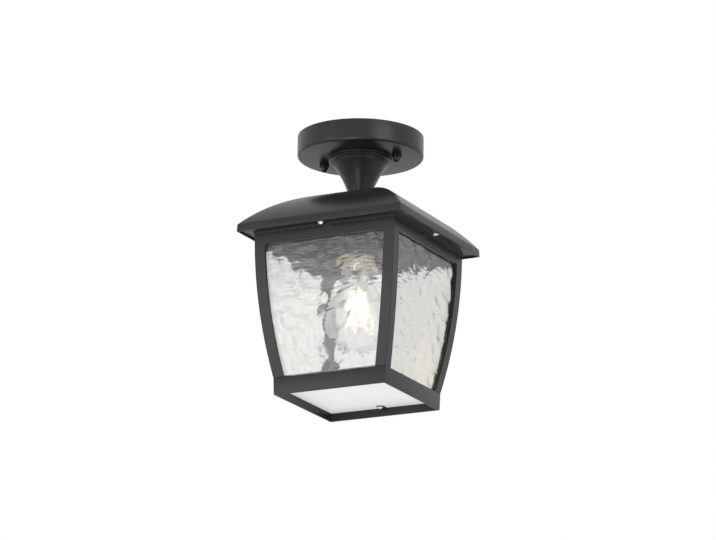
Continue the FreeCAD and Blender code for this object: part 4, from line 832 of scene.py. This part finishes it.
def lamp_cap_grid():
    """The screw cap: a thin tube whose wall is pressed into a rolled thread, radius - depth * (1 + cos(turns
    of pitch - angle)) / 2, which fades out towards the plain rim at either end."""
    plain_top, plain_foot, fade = 0.6, 1.2, 1.5
    angle = np.linspace(0, FULL_TURN, 97)[:-1]
    depth = np.linspace(CAP_TOP, CAP_LOW, 86)
    share = np.clip(np.minimum(depth - CAP_TOP - plain_top, CAP_LOW - plain_foot - depth) / fade, 0, 1)[:, None]
    wave = (1 + np.cos(FULL_TURN * depth[:, None] / THREAD_PITCH - angle)) / 2
    outer = CAP_RADIUS - THREAD_DEPTH * share * wave
    radius = np.concatenate([outer, (outer - CAP_WALL)[::-1]])
    height = -np.concatenate([depth, depth[::-1]])[:, None] * np.ones_like(angle)
    return np.stack([radius * np.cos(angle), radius * np.sin(angle), height], -1)


make_piece("lamp_screw_cap", [(lamp_cap_grid(), True, True)], "lamp", ["lamp_cap"], ALUMINIUM)


def bulb_profile():
    """Outer line of the bulb from its neck down to the pole: neck, an arc that flares out, then the ball."""
    flare_angle = math.radians(33.0)
    centre = BULB_LOW - BULB_RADIUS
    flare = (BULB_RADIUS * math.cos(flare_angle) - BULB_NECK_RADIUS) / (1 - math.cos(flare_angle))
    join = centre - BULB_RADIUS * math.sin(flare_angle)
    neck_low = join - flare * math.sin(flare_angle)
    outer = bow((BULB_NECK_RADIUS + flare, neck_low), flare, math.pi, math.pi - flare_angle, 20)
    ball = bow((0.0, centre), BULB_RADIUS, -flare_angle, QUARTER_TURN, 40)[1:]
    return outline([(BULB_MOUTH_RADIUS, BULB_TOP, 0), (BULB_MOUTH_RADIUS, neck_low, 0)] + outer + ball)


def bulb_grid():
    """The bulb's outer line, and an inner one a wall's thickness inside it, joined at the open neck."""
    outer = bulb_profile()
    along = np.gradient(outer, axis=0)
    inward = np.stack([-along[:, 1], along[:, 0]], 1) / np.linalg.norm(along, axis=1)[:, None]
    inner = outer + BULB_WALL * inward
    inner[-1, 0] = 0.0
    outer[-1, 0] = 0.0
    inner[0, 1] = outer[0, 1]
    return turned(np.concatenate([inner[::-1], outer]), 128)


make_piece("lamp_bulb", [(bulb_grid(), False, True)], "lamp", ["lamp_glass"], CLEAR, sharp=50.0)


def rod(start, end, radius):
    """A round rod between two points with half-round ends: a circle whose radius falls to nothing there."""
    rows = 24
    start, end = np.array(start, float), np.array(end, float)
    length = np.linalg.norm(end - start)
    along = (end - start) / length
    side = np.cross(along, (0, 0, 1.0))
    side = side / np.linalg.norm(side)
    other = np.cross(along, side)
    bend = np.linspace(0, QUARTER_TURN, 6)
    end_walk, end_width = radius * (1 - np.cos(bend)), radius * np.sin(bend)
    straight = np.linspace(radius, length - radius, rows)[1:-1]
    walk = np.concatenate([end_walk, straight, length - end_walk[::-1]])
    width = np.concatenate([end_width, np.full(len(straight), radius), end_width[::-1]])
    angle = np.linspace(0, FULL_TURN, 20, endpoint=False)
    ring = np.cos(angle)[:, None] * side + np.sin(angle)[:, None] * other
    return start + walk[:, None, None] * along + width[:, None, None] * ring


filament_low, filament_high = corners_of("lamp_filaments")
filament_rods = []
for quarter in range(4):
    bearing = QUARTER_TURN * (quarter + 0.5)
    radial = np.array((math.cos(bearing), math.sin(bearing)))
    top = (*(FILAMENT_TOP_REACH * radial), filament_high[2])
    foot = (*(FILAMENT_LOW_REACH * radial), filament_low[2])
    filament_rods.append((rod(top, foot, FILAMENT_RADIUS), False, True))
make_piece("glowing_filaments", filament_rods, "lamp", ["lamp_filaments"], HOT)

# ---------------------------------------------------------------- finishes of the nodes that stay as they are
FINISH_OF_NODE = {
    "crossbar_box_strap": ZINC, "crossbar_canopy_strap": ZINC, "crossbar_eyelet": BRASS,
    "ground_screw": BRASS, "canopy_studs": ZINC, "stud_lock_nuts": ZINC, "threaded_nipple": BLACK_ZINC,
    "nipple_top_washer": ZINC, "nipple_top_nut": ZINC, "nipple_bottom_washer": BLACK_ZINC,
    "nipple_bottom_nut": BLACK_ZINC, "bracket_nut": BLACK_ZINC, "lampholder_bracket": BLACK_ZINC,
    "lampholder_screws": BLACK_ZINC, "lampholder_shell": BRASS, "lampholder_contact": BRASS,
    "lamp_cap_insulator": INSULATOR, "lamp_contact": BRASS, "lamp_stem": CLEAR, "lamp_lead_wires": LEAD_WIRE,
}
for node, finish in FINISH_OF_NODE.items():
    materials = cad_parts[node].data.materials
    materials.clear()
    materials.append(finish)

# ---------------------------------------------------------------- floor, light and camera
FLOOR_DEPTH = 3.2
FLOOR_HALF = 40.0


def pale_floor():
    """A plain pale floor far below the lantern, seen only when the camera looks down."""
    mesh = bpy.data.meshes.new("pale_floor")
    rim = [(x * FLOOR_HALF, y * FLOOR_HALF, -FLOOR_DEPTH) for x, y in ((-1, -1), (1, -1), (1, 1), (-1, 1))]
    mesh.from_pydata(rim, [], [(0, 1, 2, 3)])
    mesh.materials.append(Finish("floor_paint", Base_Color=(0.90, 0.90, 0.90, 1), Roughness=0.9).material)
    floor = bpy.data.objects.new("pale_floor", mesh)
    bpy.context.scene.collection.objects.link(floor)


pale_floor()

AMBIENT = 0.88
LAMP_AIM_HEIGHT = -0.13


def white_surroundings():
    """A white world: strength 1 to the camera, in reflections and through glass, and softer as a light."""
    world = bpy.data.worlds.new("white_surroundings")
    world.use_nodes = True
    nodes = Nodes(world.node_tree)
    rays = nodes.node("ShaderNodeLightPath", {}, {})
    shown = rays.outputs["Is Camera Ray"]
    for kind in ("Is Glossy Ray", "Is Transmission Ray"):
        either = nodes.node("ShaderNodeMath", {"operation": "MAXIMUM"}, {0: shown, 1: rays.outputs[kind]})
        shown = either.outputs[0]
    strength = nodes.node("ShaderNodeMapRange", {}, {"Value": shown, "To Min": AMBIENT, "To Max": 1.0})
    background = nodes.tree.nodes["Background"]
    nodes.feed(background.inputs["Color"], (1, 1, 1, 1))
    nodes.feed(background.inputs["Strength"], strength.outputs["Result"])
    bpy.context.scene.world = world


white_surroundings()


def soft_lamp(name, place, width, power, colour, height=None):
    """An area lamp, in metres and watts, aimed at the lantern's middle; square where no height is given."""
    lamp = bpy.data.lights.new(name, "AREA")
    lamp.shape = "RECTANGLE"
    lamp.size = width
    lamp.size_y = height or width
    lamp.energy = power
    lamp.color = colour
    holder = bpy.data.objects.new(name, lamp)
    aim = Vector((0, 0, LAMP_AIM_HEIGHT)) - Vector(place)
    holder.matrix_world = Matrix.Translation(place) @ aim.to_track_quat("-Z", "Y").to_matrix().to_4x4()
    bpy.context.scene.collection.objects.link(holder)


soft_lamp("right_softbox", (2.2, -0.9, 0.3), 1.4, 18.0, (1.0, 0.97, 0.93))
soft_lamp("front_left_softbox", (-1.35, -2.3, -0.2), 1.2, 11.5, (0.98, 0.99, 1.0))
soft_lamp("front_strip_softbox", (0.40, -2.26, -0.95), 0.45, 12.0, (1.0, 1.0, 1.0), 1.6)
soft_lamp("low_front_softbox", (-0.05, -1.25, -2.25), 0.8, 24.0, (0.99, 0.99, 1.0))

# Camera solved from the photograph: its distance, bearing and height in real units.
PHOTO_WIDTH = 716
FOCAL_PIXELS = 3956.17
SENSOR_WIDTH = 36.0
BEARING = math.radians(27.0332)
ELEVATION = math.radians(-16.1353)
ROLL = math.radians(0.7712)
DISTANCE = 3.72757
SIDE_SHIFT = -0.0009007
AIM_HEIGHT = -0.130891


def photo_camera():
    """The camera looks at the lantern from below and from its right front corner."""
    back = Vector((math.sin(BEARING) * math.cos(ELEVATION), -math.cos(BEARING) * math.cos(ELEVATION),
                   math.sin(ELEVATION)))
    level = Vector((math.cos(BEARING), math.sin(BEARING), 0))
    upright = back.cross(level)
    right = level * math.cos(ROLL) + upright * math.sin(ROLL)
    up = upright * math.cos(ROLL) - level * math.sin(ROLL)
    place = back * DISTANCE + level * SIDE_SHIFT + Vector((0, 0, AIM_HEIGHT))
    lens = bpy.data.cameras.new("photo_camera")
    lens.sensor_width = SENSOR_WIDTH
    lens.lens = FOCAL_PIXELS * SENSOR_WIDTH / PHOTO_WIDTH
    lens.clip_end = 200.0
    camera = bpy.data.objects.new("photo_camera", lens)
    turn = Matrix((right, up, back)).transposed().to_4x4()
    camera.matrix_world = Matrix.Translation(place) @ turn
    bpy.context.scene.collection.objects.link(camera)
    bpy.context.scene.camera = camera


photo_camera()
bpy.context.scene.view_settings.view_transform = "Standard"
